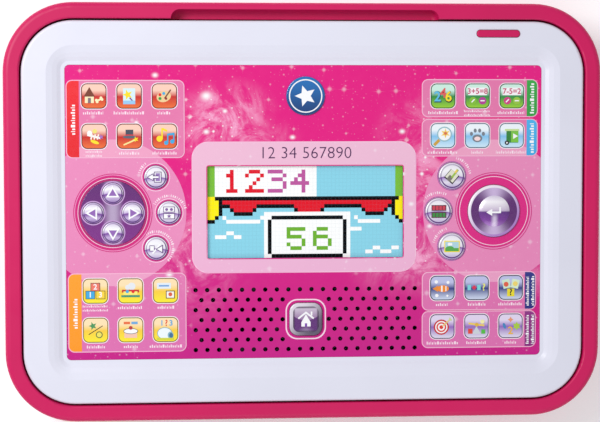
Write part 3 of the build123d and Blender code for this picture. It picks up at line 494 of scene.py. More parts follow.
def stored_ink(name, roughness=0.3, coat=0.12):
    """Printed in the colours stored on the piece, with a fine halftone unevenness."""
    n = Nodes(name)
    color = n.add("ShaderNodeVertexColor", layer_name="print").outputs[0]
    n.set(Base_Color=n.mix(n.uneven(1800.0, 0.0, 0.02), color, WHITE))
    n.set(Roughness=n.uneven(240.0, roughness * 0.85, roughness * 1.15))
    n.coat(coat, 0.08)
    return n.material


def lacquer(n, color):
    """Clear-coated pearl finish in the given colour."""
    n.set(Base_Color=n.mix(n.ramp(n.noise(5200.0, 1.0), 0.35, 0.65, 0.0, 0.06), color, WHITE))
    n.set(Metallic=0.1, Roughness=n.uneven(300.0, 0.24, 0.32))
    n.shader.inputs["Specular IOR Level"].default_value = 0.35
    n.coat(0.22, 0.08)
    return n.material


def cap_painted_sheen(name, x, y, radius, upper, lower):
    """Round key with painted light: a painted sheen above its middle, a darker line there, tinted darker
    below as painted shade, inside a dark ring that is deepened towards the near right as painted shade.
    """
    n = Nodes(name)
    dx, dy, far = n.around(x, y, radius)
    edge = n.math("ADD", n.math("MULTIPLY", n.math("MULTIPLY", dx, dx), 0.16), dy)
    height = n.ramp(edge, -1.0, 1.0, smooth_step=False)
    # painted light: pale sheen above the middle, darker colour below
    color = n.stops(height, ((0.0, lower), (0.28, upper), (0.45, lower), (0.49, KEY_PURPLE), (0.53, upper),
                             (0.72, SHEEN), (1.0, upper)))
    ring = n.math("MULTIPLY", n.ramp(far, 0.80, 0.83), n.ramp(far, 0.93, 0.90))
    # painted shade: the dark ring is deepest towards the near right
    slope = n.math("SUBTRACT", n.math("MULTIPLY", dx, 0.5), dy)
    color = n.mix(n.math("MULTIPLY", ring, n.ramp(slope, -1.0, 0.4, 0.45, 1.0)), color, DEEP_PURPLE)
    return lacquer(n, color)


def pad_painted_sheen(name, x, y, radius):
    """Disc the arrow keys stand in: purple, darker towards the far side as painted shade, with a painted
    highlight in a pale cross, strongest from far to near.
    """
    n = Nodes(name)
    dx, dy, far = n.around(x, y, radius)
    # painted highlight: a pale cross along the disc's middle lines
    upright = n.ramp(n.math("ABSOLUTE", dx), 0.36, 0.02, 0.0, 0.80)
    level = n.ramp(n.math("ABSOLUTE", dy), 0.30, 0.02, 0.0, 0.45)
    level = n.math("MULTIPLY", level, n.ramp(far, 0.85, 0.2))
    # painted shade: darker towards the far side
    shade = n.mix(n.ramp(dy, -1.0, 1.0), rgb(124, 24, 134), rgb(94, 8, 112))
    return lacquer(n, n.mix(n.math("MAXIMUM", upright, level), shade, rgb(196, 178, 210)))


def enter_painted_sheen(name, x, y, radius):
    """Enter key: dark ring with painted reflections that flash at its near and far ends, inside a pale rim
    with painted light, lighter towards the far left.
    """
    n = Nodes(name)
    dx, dy, far = n.around(x, y, radius)
    # painted reflection: the ring turns pale towards its near and far ends
    flash = n.math("POWER", n.math("DIVIDE", n.math("ABSOLUTE", dy), n.math("ADD", far, 0.001)), 6.0)
    ring = n.mix(flash, rgb(88, 12, 108), rgb(206, 182, 224))
    # painted light: the rim is lighter towards the far left
    slope = n.math("SUBTRACT", n.math("MULTIPLY", dy, 0.8), n.math("MULTIPLY", dx, 0.6))
    rim = n.mix(n.ramp(slope, -0.9, 0.9), rgb(176, 128, 204), rgb(244, 236, 248))
    color = n.mix(n.ramp(far, 0.885, 0.905), ring, rim)
    return lacquer(n, color)


def enter_dome_painted_sheen(name, x, y, radius):
    """Middle of the enter key with painted light: a painted sheen, pale above, purple below with a painted
    bright streak.
    """
    n = Nodes(name)
    dx, dy, _ = n.around(x, y, radius)
    # painted sheen: pale above the middle, purple below
    height = n.ramp(dy, -1.0, 1.0, smooth_step=False)
    color = n.stops(height, ((0.0, rgb(176, 120, 204)), (0.2, rgb(122, 46, 156)), (0.47, rgb(92, 26, 130)),
                             (0.52, rgb(206, 188, 216)), (0.8, rgb(250, 246, 252)),
                             (1.0, rgb(216, 204, 228))))
    # painted highlight: a bright streak down the middle of the lower half
    streak = n.math("MULTIPLY", n.ramp(n.math("ABSOLUTE", dx), 0.30, 0.0), n.ramp(dy, 0.0, -0.5, 0.0, 0.75))
    return lacquer(n, n.mix(streak, color, rgb(236, 224, 246)))


def home_frame_painted_light(name, x, y, radius):
    """Home key's frame with painted light: lighter towards the left and the far side."""
    n = Nodes(name)
    dx, dy, _ = n.around(x, y, radius)
    # painted light: lighter towards the far left
    lit = n.ramp(n.math("SUBTRACT", dy, dx), -1.2, 1.3)
    return lacquer(n, n.mix(lit, rgb(92, 80, 104), rgb(226, 218, 230)))


def home_gel_painted_sheen(name, x, y, radius):
    """Home key's middle with painted light: a painted sheen with a curved near edge, purple with a painted
    soft light below, and painted shade at its edge.
    """
    n = Nodes(name)
    dx, dy, _ = n.around(x, y, radius)
    # painted sheen: pale above a curved line, purple below
    bend = n.math("SUBTRACT", dy, n.math("MULTIPLY", n.math("MULTIPLY", dx, dx), 0.35))
    sheen = n.mix(n.ramp(dy, 0.0, 0.9), rgb(160, 124, 170), rgb(206, 190, 212))
    low = n.math("ADD", dy, 1.15)
    # painted light: a soft pale patch near the lower edge
    light = n.ramp(n.length(dx, low), 0.75, 0.1, 0.0, 0.75)
    below = n.mix(light, rgb(92, 22, 116), rgb(176, 160, 194))
    shown = n.mix(n.ramp(bend, -0.10, -0.04), below, sheen)
    # painted shade: darker towards the edge of the sunk gel
    edge = n.math("MAXIMUM", n.math("ABSOLUTE", dx), n.math("ABSOLUTE", dy))
    return lacquer(n, n.mix(n.ramp(edge, 0.80, 0.95, 0.0, 0.8), shown, rgb(52, 28, 64)))


def screen_cells(name, pitch):
    """Lit picture with the dark lines between its square dots."""
    n = Nodes(name)
    color = n.add("ShaderNodeVertexColor", layer_name="print").outputs[0]
    px, py, _ = n.split()
    lines = []
    for value, start in ((px, SCREEN[0]), (py, SCREEN[1])):
        cell = n.math("FRACT", n.math("DIVIDE", n.math("SUBTRACT", value, start), pitch))
        lines.append(n.ramp(n.math("ABSOLUTE", n.math("SUBTRACT", cell, 0.5)), 0.38, 0.48))
    line = n.math("MULTIPLY", n.math("MAXIMUM", lines[0], lines[1]), 0.10)
    shown = n.mix(line, color, rgb(90, 130, 150))
    n.set(Base_Color=shown, Emission_Color=shown, Roughness=n.uneven(400.0, 0.3, 0.4))
    n.shader.inputs["Emission Strength"].default_value = 0.22
    n.shader.inputs["Specular IOR Level"].default_value = 0.1
    return n.material


def clear_lens(name):
    """Clear, slightly smoky sheet."""
    n = Nodes(name)
    n.set(Base_Color=rgb(16, 20, 24), Roughness=n.uneven(90.0, 0.03, 0.06))
    n.shader.inputs["Alpha"].default_value = 0.05
    n.shader.inputs["Specular IOR Level"].default_value = 0.25
    n.shader.inputs["IOR"].default_value = 1.49
    return n.material


def soft_rubber(name, color, roughness=0.7):
    """Matt rubber or paper, a little mottled."""
    n = Nodes(name)
    mottled = n.uneven(40.0, 0.0, 0.12, 3.0)
    n.set(Base_Color=n.mix(mottled, color, darker(color, 0.75)))
    n.set(Roughness=n.uneven(500.0, roughness * 0.9, roughness * 1.1))
    n.bump(n.noise(1800.0), 0.3, 0.02 * MM)
    return n.material


def paint(node, material):
    """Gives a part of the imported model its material."""
    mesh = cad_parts[node].data
    mesh.materials.clear()
    mesh.materials.append(material)


# ------------------------------------------------------------------ camera, light and floor
CAMERA_PLACE = (-71.1 * MM, 49.6 * MM, 930.6 * MM)
CAMERA_TURN = (radians(-3.146), radians(-4.382), radians(-0.07))
CAMERA_LENS = 100.0


def add_camera():
    data = bpy.data.cameras.new("camera")
    data.lens = CAMERA_LENS
    data.sensor_width = 36.0
    data.clip_start = 0.01
    camera = bpy.data.objects.new("camera", data)
    camera.location = CAMERA_PLACE
    camera.rotation_euler = CAMERA_TURN
    bpy.context.scene.collection.objects.link(camera)
    bpy.context.scene.camera = camera


def soft_box(name, place, size, power):
    """Large lamp turned towards the middle of the toy."""
    data = bpy.data.lights.new(name, "AREA")
    data.energy = power
    data.shape = "RECTANGLE"
    data.size, data.size_y = size
    lamp = bpy.data.objects.new(name, data)
    lamp.location = place
    towards = Vector((0, 0, 30 * MM)) - Vector(place)
    lamp.rotation_euler = towards.to_track_quat("-Z", "Y").to_euler()
    bpy.context.scene.collection.objects.link(lamp)


def add_light():
    soft_box("key_light", (-0.62, 0.38, 0.85), (0.45, 0.45), 7.3)
    soft_box("fill_light", (0.1, -1.1, 1.1), (1.2, 0.8), 3.9)
    world = bpy.data.worlds.new("studio")
    world.use_nodes = True
    sky = world.node_tree.nodes["Background"]
    sky.inputs["Color"].default_value = (0.97, 0.98, 1.0, 1)
    sky.inputs["Strength"].default_value = 0.49
    bpy.context.scene.world = world
    bpy.context.scene.view_settings.view_transform = "Standard"


def add_floor():
    deselect()
    bpy.ops.mesh.primitive_plane_add(size=6.0, location=(0, 0, 0))
    floor = settle("floor")
    n = Nodes("pale_floor")
    shade = n.mix(n.uneven(3.0, 0.0, 0.2), rgb(250, 250, 250), rgb(243, 243, 244))
    n.set(Base_Color=shade, Roughness=0.8, Emission_Color=WHITE)
    n.shader.inputs["Emission Strength"].default_value = 0.18
    floor.data.materials.append(n.material)


# ------------------------------------------------------------------ plastics, rubber and metal
def paint_model():
    tray = moulded("tray_pink_abs", TRAY_PINK, 0.45, shine=0.35)
    for node in ("base_upper_case", "base_lower_case", "battery_door", "stand_panel", "power_key"):
        paint(node, tray)
    paint("tablet_front_case", moulded("bezel_white_abs", BEZEL_WHITE, 0.36, coat=0.10, worn=0.015,
                                       well=(sheet_high[0] - MM, sheet_high[1] - MM)))
    paint("tablet_rear_case", moulded("rear_white_abs", REAR_WHITE, 0.55, grain=0.03, worn=0.02))
    paint("touch_overlay", print_ink("sparkle_print", PRINT_TOP, PRINT_LOW, 1.0, 1.0))
    paint("touch_membrane", moulded("membrane_film", rgb(60, 20, 50), 0.5))
    paint("screen_lens", clear_lens("clear_acrylic"))
    paint("lcd_module", moulded("display_glass", rgb(120, 150, 160), 0.2))
    paint("lcd_backlight", moulded("diffuser_sheet", rgb(232, 234, 232), 0.6))
    paint("lcd_ribbon", moulded("polyimide_film", rgb(206, 140, 40), 0.3))
    paint("main_board", moulded("solder_mask_green", rgb(26, 96, 52), 0.4, coat=0.3))
    paint("power_switch", moulded("switch_board_green", rgb(26, 96, 52), 0.4, coat=0.3))
    paint("keyboard_board", moulded("keyboard_board_green", rgb(30, 104, 58), 0.4, coat=0.3))
    paint("base_ribbon_cable", moulded("grey_ribbon", rgb(160, 160, 166), 0.5))
    paint("keyboard_plate", moulded("keyboard_lilac", rgb(226, 196, 228), 0.45, coat=0.05))
    paint("keyboard_keys", soft_rubber("key_silicone", rgb(244, 240, 246), 0.55))
    domes = soft_rubber("dome_silicone", rgb(222, 222, 218), 0.5)
    for node in ("left_key_mat", "right_key_mat", "home_key_mat"):
        paint(node, domes)
    foot = soft_rubber("foot_rubber", rgb(44, 42, 46), 0.8)
    for node in ("front_left_foot", "front_right_foot", "rear_left_foot", "rear_right_foot"):
        paint(node, foot)
    nylon = moulded("natural_acetal", rgb(232, 230, 220), 0.4)
    for node in ("left_glide_rail", "right_glide_rail", "left_glide_shoe", "right_glide_shoe"):
        paint(node, nylon)
    pin = metal("ground_steel", rgb(196, 198, 200), 0.25, (1.0, 14.0, 14.0))
    for side in ("left", "right"):
        paint(side + "_base_hinge_pin", pin)
        paint(side + "_tablet_hinge_pin", pin)
    zinc = metal("zinc_plated_steel", rgb(186, 190, 196), 0.32, (6.0, 1.0, 1.0))
    for node in ("base_screws", "battery_door_screw", "tablet_screws"):
        paint(node, zinc)
    nickel = metal("nickel_spring_steel", rgb(214, 212, 204), 0.22, (8.0, 1.0, 8.0))
    for node in ("battery_springs", "battery_contacts"):
        paint(node, nickel)
    paint("speaker_frame", metal("black_zinc_steel", rgb(70, 70, 74), 0.4, (1.0, 6.0, 1.0)))
    paint("speaker_cone", soft_rubber("pressed_paper", rgb(40, 36, 42), 0.9))
    for index in range(4):
        paint(f"battery_cell_{index + 1}", cell_jacket(f"cell_jacket_{index + 1}", index))
    x, y, _ = middle("arrow_pad")
    paint("arrow_pad", pad_painted_sheen("pad_painted_sheen", x, y, ARROW_PAD_RADIUS))


def cell_jacket(name, index):
    """Shrink jacket in two colours, with the band at the cell's positive end."""
    n = Nodes(name)
    low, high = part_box(f"battery_cell_{index + 1}")
    _, py, _ = n.split()
    band = (high[1] - low[1]) * 0.22
    border = 0.2 * MM
    if index % 2:
        share = n.ramp(py, high[1] - band, high[1] - band + border)
    else:
        share = n.ramp(py, low[1] + band, low[1] + band - border)
    n.set(Base_Color=n.mix(share, rgb(40, 44, 52), rgb(190, 120, 50)), Metallic=0.5,
          Roughness=n.uneven(200.0, 0.25, 0.4))
    return n.material


# ------------------------------------------------------------------ printed panels
PRINTED = {}
PANELS = {
    # name: (left, near, right, far, tab side, tab width, tab colour) in millimetres
    "creative_panel": (-127.1, 29.1, -64.5, 70.5, -1, 6.4, RED),
    "number_panel": (62.6, 50.6, 125.8, 71.0, 1, 5.6, GREEN),
    "science_panel": (62.6, 29.5, 125.8, 49.7, 1, 5.6, SKY),
    "language_panel": (-126.8, -74.4, -64.0, -32.1, -1, 6.7, ORANGE),
    "shape_panel": (62.9, -53.8, 125.4, -32.8, 1, 5.6, NAVY),
    "puzzle_panel": (62.9, -74.2, 125.4, -54.1, 1, 5.6, PURPLE),
}
PANEL_CORNER = 3.4 * MM
PANEL_LINE = 0.5 * MM
TWO_ROW_TABS = ("shape_panel", "puzzle_panel")
TAB_CAPTION_LENGTH = 16.5 * MM
CAPTION_WHITE = rgb(250, 222, 236)
CAPTION_MARKS = "WxixhxxixWxlxxhxixlx"
MARK_WIDTHS = {"W": 0.6, "x": 0.36, "h": 0.36, "i": 0.18, "l": 0.18}      # in shares of the mark height


def layer_z(layer):
    """Height of the top of a printed layer."""
    return FACE_Z + layer * LAYER


def add_panel(name, left, near, right, far, side, tab_width, tab_color):
    """Pale field with a thin border and a coloured tab at one side."""
    x, y = (left + right) / 2 * MM, (near + far) / 2 * MM
    width, depth = (right - left) * MM, (far - near) * MM
    border = slab(name + "_border", x, y, FACE_Z, layer_z(2), width, depth, PANEL_CORNER)
    tint(border, rgb(244, 182, 212))
    print_on(border)
    inside = (width - 2 * PANEL_LINE, depth - 2 * PANEL_LINE, PANEL_CORNER - PANEL_LINE)
    field = slab(name + "_field", x, y, FACE_Z, layer_z(2.6), *inside)
    print_on(field, "panel")
    tab = slab(name + "_tab", x, y, FACE_Z, layer_z(3.2), *inside)
    edge_x = x + side * (width / 2 - PANEL_LINE - tab_width * MM)
    trim(tab, (edge_x, y, FACE_Z), (-side, 0, 0))
    lighter = tuple(min(1, c * 1.1 + 0.01) for c in tab_color[:3]) + (1,)
    tint(tab, tab_color, lighter, near * MM, far * MM)
    print_on(tab)
    middle_x = edge_x + side * tab_width * MM / 2
    rows, height = (2, 1.7 * MM) if name in TWO_ROW_TABS else (1, 2.3 * MM)
    add_caption(name + "_tab_caption", middle_x, y, TAB_CAPTION_LENGTH, rows, height, radians(90), WHITE)


def add_caption(name, x, y, length, rows, height, turn=0.0, color=CAPTION_WHITE):
    """Rows of small upright marks where a caption would be printed."""
    made = []
    z = layer_z(3.2)
    for row in range(rows):
        offset = ((rows - 1) / 2 - row) * height * 1.7
        start = -length / 2
        index = row * 3 + len(name)
        while start < length / 2 - 0.3 * height:
            mark = CAPTION_MARKS[index % len(CAPTION_MARKS)]
            width = MARK_WIDTHS[mark] * height
            tall = height * (0.66 if mark == "x" else 0.95)
            along, up = start + width / 2, offset + (tall - height) / 2
            px = x + cos(turn) * along - sin(turn) * up
            py = y + sin(turn) * along + cos(turn) * up
            made.append(bar("mark", px, py, z - LAYER, z + LAYER * 0.6, width, tall, turn))
            start += width + height * 0.26
            index += 1
    caption = join(name, made)
    tint(caption, color)
    print_on(caption)


def add_circles():
    """Two large pale circles behind the keys, cut off at the sheet's edges and open round each key."""
    for name, (x, radius) in PALE_CIRCLES.items():
        circle = tube(name, x * MM, 0, FACE_Z, layer_z(1), radius * MM, 96)
        side = -1 if x < 0 else 1
        limit = sheet_low[0] if side < 0 else sheet_high[0]
        trim(circle, (limit, 0, FACE_Z), (side, 0, 0))
        keys = [node for node in (*ROUND_SIGNS, "enter_key") if middle(node)[0] * side > 0]
        holes = [(middle(node), cap_radius(node) + HOLE_GAP) for node in keys]
        if side < 0:
            holes.append((middle("arrow_pad"), ARROW_PAD_RADIUS + 0.1 * MM))
        for place, reach in holes:
            cut_out(circle, tube("hole", place[0], place[1], FACE_Z - MM, FACE_Z + MM, reach, 64))
        print_on(circle, "circle")


def add_ring(name, x, y, outer, inner, low, high, color):
    """Flat printed ring."""
    deselect()
    bpy.ops.mesh.primitive_circle_add(vertices=64, radius=inner, location=(x, y, low))
    made = settle(name)
    edit(made, "VERT")
    bpy.ops.mesh.select_all(action="SELECT")
    bpy.ops.mesh.extrude_region_move()
    grow = outer / inner
    bpy.ops.transform.resize(value=(grow, grow, 1), center_override=(x, y, low))
    bpy.ops.mesh.select_all(action="SELECT")
    bpy.ops.mesh.extrude_region_move(TRANSFORM_OT_translate={"value": (0, 0, high - low)})
    bpy.ops.mesh.select_all(action="SELECT")
    bpy.ops.mesh.normals_make_consistent(inside=False)
    close_edit()
    tint(made, color)
    print_on(made)


def add_screen_frame():
    """Pale frame printed round the screen, a thin line round the frame, and digits above the screen."""
    width, depth = 119.6 * MM, 69.4 * MM
    corner = 8.4 * MM
    x, y = -0.6 * MM, 2.6 * MM
    made = slab("screen_frame", x, y, FACE_Z, layer_z(2), width, depth, corner, 12)
    open_width, open_depth = SCREEN[2] - SCREEN[0] + MM, SCREEN[3] - SCREEN[1] + MM
    cut_out(made, slab("window", 0, 0, FACE_Z - MM, FACE_Z + MM, open_width, open_depth, 1.4 * MM, 4))
    print_on(made, "frame")
    half = 0.5 * MM
    line = slab("screen_frame_line", x, y, FACE_Z, layer_z(1.4), width + MM, depth + MM, corner + half, 12)
    tint(line, rgb(242, 176, 212))
    cut_out(line, slab("window", x, y, FACE_Z - MM, FACE_Z + MM, width - MM, depth - MM, corner - half, 12))
    print_on(line)
    title = Picture(0, 31.4 * MM, layer_z(2), MM)
    title.sign(0, 0, 9.0, "12 34 567890", rgb(70, 20, 80), -0.012)
    title.done("title_numbers")


# ------------------------------------------------------------------ screen picture
SCREEN_ROWS = (
    "GGWWWWWWWWWWWWWWWWWWWWWWWWWWWBBBBBBBBBBBBBBBBBBBBBGG",
    "GGWWWWRWWWWRRRWWPPPPWWWWWPWWWBBBBBBBBBBBBBBBBBBBBBGG",
    "GGWWWRRWWWRWWWRWWWWWPWWWPPWWWBBBBBBBBBBBBBBBBBBBBBGG",
    "GGWWWWRWWWWWWRWWWPPPWWWPWPWWWBBBBBBBBBBBBBBBBBBBBBGG",
    "GGWWWWRWWWWWRWWWWWWWPWPPPPPWWBBBBBBBBBBBBBBBBBBBBBGG",
    "GGWWWWRWWWWRWWWWWWWWPWWWWPWWWBBBBBBBBBBBBBBBBBBBBBGG",
    "GGWWWRRRWWRRRRRWPPPPWWWWWPWWWBBBBBBBBBBBBBBBBBBBBBGG",
    "GGWWWWWWWWWWWWWWWWWWWWWWWWWWWBBBBBBBBBBBBBBBBBBBBBGG",
    "YYKKKKKKKKKKKKKKKKKKKKKKKKKKKKKKKKKKKKKKKKKKKKKKKKKY",
    "YYYKRRRRRRRRRRRRRRRRRRRRRRRRRRRRRRRRRRRRRRRRRRRRRKYY",
    "YYYKKKRRRRRRRKKKKKKKKKKRRRRRRRRKKKKKKKKKKRRRRRRRKKYY",
    "YYYKBBKRRRRRKBBBBBBBBBBKRRRRRRKBBBBBBBBBBKRRRRRKBKYY",
    "YYYKBBBKKKKKBBBWWWWWWWWWWWWWWWWWWWWWWWBBBBKKKKKBBKYY",
    "YYKBWBBBBBBBBBWWWKKKKKKKKKKKKKKKKKKKWWBWBBBBBBBBBBKY",
    "KKBBBWWWWWWWWWBWKWWWWWWWWWWWWWWWWWWWKWBBWWWWWWBBBBBK",
    "BBBBBBBBBBBBBBBWKWWWWWWWWWWWWWWWWWWWKWBBBBBBBBBBBBBB",
    "BBBBBBBBBBBBBBBWKWWWWLLLLLWWWLLLWWWWKWWWWBBBBBBBBBBB",
    "BBBBBWWBBBBBBBBWKWWWWLWWWWWWLWWWWWWWKWBBBBBBBBBBBBBB",
    "BBWWWBBWWBBBBBBWKWWWWLLLLWWWLLLLWWWWKWBBBBBBBBBBBBBB",
    "BBBBBBBBBBBBBBBWKWWWWWWWWLWWLWWWLWWWKWBBBBBBBBBBBBBB",
    "BBBBBBBBBBBBBBBWKWWWWLWWWLWWLWWWLWWWKWBBBBBBBBBBBBBB",
    "BBBBBBBBBBBBBBBWKWWWWWLLLWWWWLLLWWWWKWBBBBBBWWBBBWWB",
    "BBBBBBBBBBBBBBBWKWWWWWWWWWWWWWWWWWWWKWBBBBWWBBWWWBBB",
    "BBBBBBBBBBBBBBBWWKKKKKKKKKKKKKKKKKKKWWBBBBBBBBBBBBBB",
)
SCREEN_COLORS = {
    "G": rgb(124, 192, 60),
    "W": rgb(252, 253, 253),
    "B": rgb(140, 212, 232),
    "K": rgb(3, 3, 5),
    "R": rgb(226, 26, 44),
    "Y": rgb(254, 240, 16),
    "P": rgb(190, 90, 160),
    "L": rgb(112, 178, 50),
}


def add_screen_picture():
    """Sheet of square dots on the display, coloured from the rows above."""
    columns, rows = len(SCREEN_ROWS[0]), len(SCREEN_ROWS)
    width, depth = SCREEN[2] - SCREEN[0], SCREEN[3] - SCREEN[1]
    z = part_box("lcd_module")[1][2] + 0.04 * MM
    deselect()
    bpy.ops.mesh.primitive_grid_add(x_subdivisions=columns, y_subdivisions=rows, size=1, location=(0, 0, z))
    made = bpy.context.object
    made.scale = (width, depth, 1)
    made = settle("screen_picture")
    layer = made.data.color_attributes.new("print", "FLOAT_COLOR", "CORNER")
    for face in made.data.polygons:
        column = min(columns - 1, int((face.center.x - SCREEN[0]) / width * columns))
        row = min(rows - 1, int((SCREEN[3] - face.center.y) / depth * rows))
        for corner in face.loop_indices:
            layer.data[corner].color = SCREEN_COLORS[SCREEN_ROWS[row][column]]
    edit(made, "FACE")
    bpy.ops.mesh.select_all(action="SELECT")
    bpy.ops.mesh.extrude_region_move(TRANSFORM_OT_translate={"value": (0, 0, 0.02 * MM)})
    bpy.ops.mesh.select_all(action="SELECT")
    bpy.ops.mesh.normals_make_consistent(inside=False)
    close_edit()
    finish_piece(made, screen_cells("lit_dots", width / columns), "tablet")


# ------------------------------------------------------------------ touch icons
UNIT = TOUCH_SIZE / 2
SHAPE_STEP = 0.025 * MM    # from one shape of a picture up to the next


class Picture:
    """Small picture of flat shapes, each a little higher than the last, with sizes in shares of a unit."""

    def __init__(self, x, y, z, unit, sink=0.0):
        self.x, self.y, self.unit = x, y, unit
        self.z = z - sink          # the shapes start here, below a domed top
        self.top = z
        self.shapes = []

    def level(self):
        """Height of the next shape's top."""
        return self.top + (len(self.shapes) + 1) * SHAPE_STEP

    def spot(self, x, y):
        return self.x + x * self.unit, self.y + y * self.unit

    def disc(self, x, y, radius, color, sides=20, turn=0.0):
        made = tube("shape", *self.spot(x, y), self.z, self.level(), radius * self.unit, sides, turn)
        self.shapes.append(tint(made, color))

    def oval(self, x, y, width, depth, color, turn=0.0):
        made = tube("shape", 0, 0, self.z, self.level(), self.unit, 20)
        made.scale = (width / 2, depth / 2, 1)
        made.rotation_euler = (0, 0, turn)
        made.location = (*self.spot(x, y), 0)
        bpy.ops.object.transform_apply(location=True, rotation=True, scale=True)
        self.shapes.append(tint(made, color))

    def bar(self, x, y, width, depth, color, turn=0.0):
        width, depth = width * self.unit, depth * self.unit
        made = bar("shape", *self.spot(x, y), self.z, self.level(), width, depth, turn)
        self.shapes.append(tint(made, color))

    def star(self, x, y, radius, color, points=5, turn=0.0, waist=0.42):
        """Disc with every second corner drawn in to its waist."""
        at_x, at_y = self.spot(x, y)
        made = tube("shape", at_x, at_y, self.z, self.level(), radius * self.unit, 2 * points, turn)
        mesh = edit(made, "VERT")
        for v in mesh.verts:
            v.select = v.index // 2 % 2 == 1
        bmesh.update_edit_mesh(made.data)
        bpy.ops.transform.resize(value=(waist, waist, 1), center_override=(at_x, at_y, self.z))
        close_edit()
        self.shapes.append(tint(made, color))

    def tri(self, x, y, radius, color, turn=0.0):
        self.disc(x, y, radius, color, 3, turn)

    def sign(self, x, y, size, text, color, weight=0.02):
        """Digits or signs, centred; the weight thickens their strokes."""
        deselect()
        high = self.level()
        bpy.ops.object.text_add(location=(*self.spot(x, y), (self.z + high) / 2))
        words = bpy.context.object
        words.data.body = text
        words.data.size = size * self.unit
        words.data.align_x = "CENTER"
        words.data.align_y = "CENTER"
        words.data.resolution_u = 3
        words.data.extrude = (high - self.z) / 2
        words.data.offset = weight * size * self.unit
        bpy.ops.object.convert(target="MESH")
        self.shapes.append(tint(settle("shape"), color))

    def done(self, name, body="tablet", material=None):
        finish_piece(join(name, self.shapes), material or PRINTED["ink"], body)


TILE_RISE = 0.10 * MM       # above the touch pad


def tile_layer(x, y, extra, corner, rise):
    """Rounded square that is wider than the touch pad by the extra."""
    width = TOUCH_SIZE + extra
    return slab("tile", x, y, FACE_Z, FACE_Z + TOUCH_EMBOSS + rise, width, width, corner, 6)


def add_tile(name, x, y, low_color, mid_color, high_color, picture):
    """Gel icon: white surround, dark line, shaded ground with a pale sheen over its upper half."""
    z = FACE_Z + TOUCH_EMBOSS
    rim = tint(tile_layer(x, y, 0.7 * MM, 3.4 * MM, 0.04 * MM), rgb(252, 240, 246))
    line = tint(tile_layer(x, y, -0.1 * MM, 3.1 * MM, 0.07 * MM), darker(mid_color, 0.22))
    ground = tile_layer(x, y, -1.1 * MM, 2.6 * MM, TILE_RISE)
    edit(ground, "FACE")
    bpy.ops.mesh.select_all(action="SELECT")
    for share in (-0.05, 0.45):
        bpy.ops.mesh.bisect(plane_co=(x, y + share * UNIT, z), plane_no=(0, 1, 0))
        bpy.ops.mesh.select_all(action="SELECT")
    close_edit()
    tint(ground, low_color, mid_color, y - UNIT * 0.9, y - UNIT * 0.05)
    layer = ground.data.color_attributes["print"]
    for v in ground.data.vertices:
        share = (v.co.y - y) / UNIT
        if share > 0.3:
            layer.data[v.index].color = high_color
    tile = join(name, [rim, line, ground])
    print_on(tile, "gel")
    drawing = Picture(x, y, z + TILE_RISE, UNIT)
    picture(drawing)
    drawing.done(name + "_picture", material=PRINTED["gel"])


def draw_house(p):
    p.bar(-0.35, -0.25, 0.7, 0.6, rgb(250, 236, 190))
    p.tri(-0.35, 0.2, 0.5, rgb(120, 60, 40))
    p.bar(0.42, -0.3, 0.42, 0.14, rgb(252, 240, 190), radians(25))
    for x, y in ((0.2, -0.33), (0.26, -0.46), (0.56, -0.14), (0.64, -0.27)):
        p.disc(x, y, 0.11, rgb(252, 240, 190), 12)
    p.bar(-0.35, -0.35, 0.22, 0.4, rgb(130, 110, 120))


def draw_mirror(p):
    p.bar(0, -0.02, 0.95, 1.25, rgb(214, 240, 246))
    p.star(-0.12, 0.1, 0.42, YELLOW, 5, radians(18))
    p.bar(0.2, -0.32, 0.5, 0.1, rgb(120, 60, 140), radians(-50))
    p.bar(0, -0.5, 0.95, 0.28, rgb(150, 200, 240))


def draw_palette(p):
    p.oval(-0.05, -0.05, 1.15, 0.85, rgb(240, 206, 150), radians(15))
    for x, y, color in ((-0.35, 0.1, RED), (-0.05, 0.2, SKY), (-0.35, -0.2, GREEN)):
        p.disc(x, y, 0.12, color, 12)
    p.bar(0.25, 0.15, 0.85, 0.1, rgb(120, 70, 40), radians(55))
    p.disc(0.12, -0.2, 0.1, rgb(150, 40, 40), 12)


def draw_band(p):
    p.disc(-0.35, 0.25, 0.2, WHITE, 12)
    p.disc(0.05, 0.4, 0.18, rgb(240, 226, 120), 12)
    p.bar(0.0, -0.02, 1.1, 0.16, WHITE, radians(-14))
    for x in (-0.2, 0.05, 0.3):
        p.bar(x, -0.05, 0.12, 0.42, rgb(250, 240, 230), radians(-14))
    p.oval(0.05, -0.45, 0.7, 0.26, YELLOW, radians(-20))
    p.star(0.55, -0.05, 0.22, rgb(170, 110, 190), 5, radians(10))


def draw_stage(p):
    p.bar(0, 0.24, 0.6, 0.55, rgb(70, 74, 92))
    p.bar(0, 0.06, 0.6, 0.14, RED)
    p.oval(0, -0.06, 1.05, 0.24, rgb(90, 96, 112))
    p.bar(0.0, -0.48, 1.0, 0.12, rgb(250, 232, 150), radians(24))
    p.star(0.5, -0.24, 0.24, YELLOW, 5, radians(18))


def draw_notes(p):
    p.disc(-0.4, -0.2, 0.24, YELLOW)
    p.bar(-0.2, 0.2, 0.12, 0.85, YELLOW)
    p.bar(0.0, 0.5, 0.42, 0.16, YELLOW, radians(-25))
    p.disc(0.12, -0.52, 0.17, SKY, 14)
    p.disc(0.6, -0.42, 0.17, SKY, 14)
    p.bar(0.24, -0.2, 0.1, 0.65, SKY)
    p.bar(0.72, -0.12, 0.1, 0.65, SKY)
    p.bar(0.48, 0.16, 0.58, 0.16, SKY, radians(8))


def draw_digits(p):
    p.sign(-0.42, -0.12, 1.25, "2", rgb(20, 60, 90))
    p.sign(-0.45, -0.08, 1.1, "2", rgb(90, 190, 230))
    p.sign(0.0, 0.2, 1.05, "4", rgb(226, 90, 90))
    p.sign(0.45, -0.12, 1.25, "6", BLACK)
    p.sign(0.43, -0.08, 1.1, "6", YELLOW)


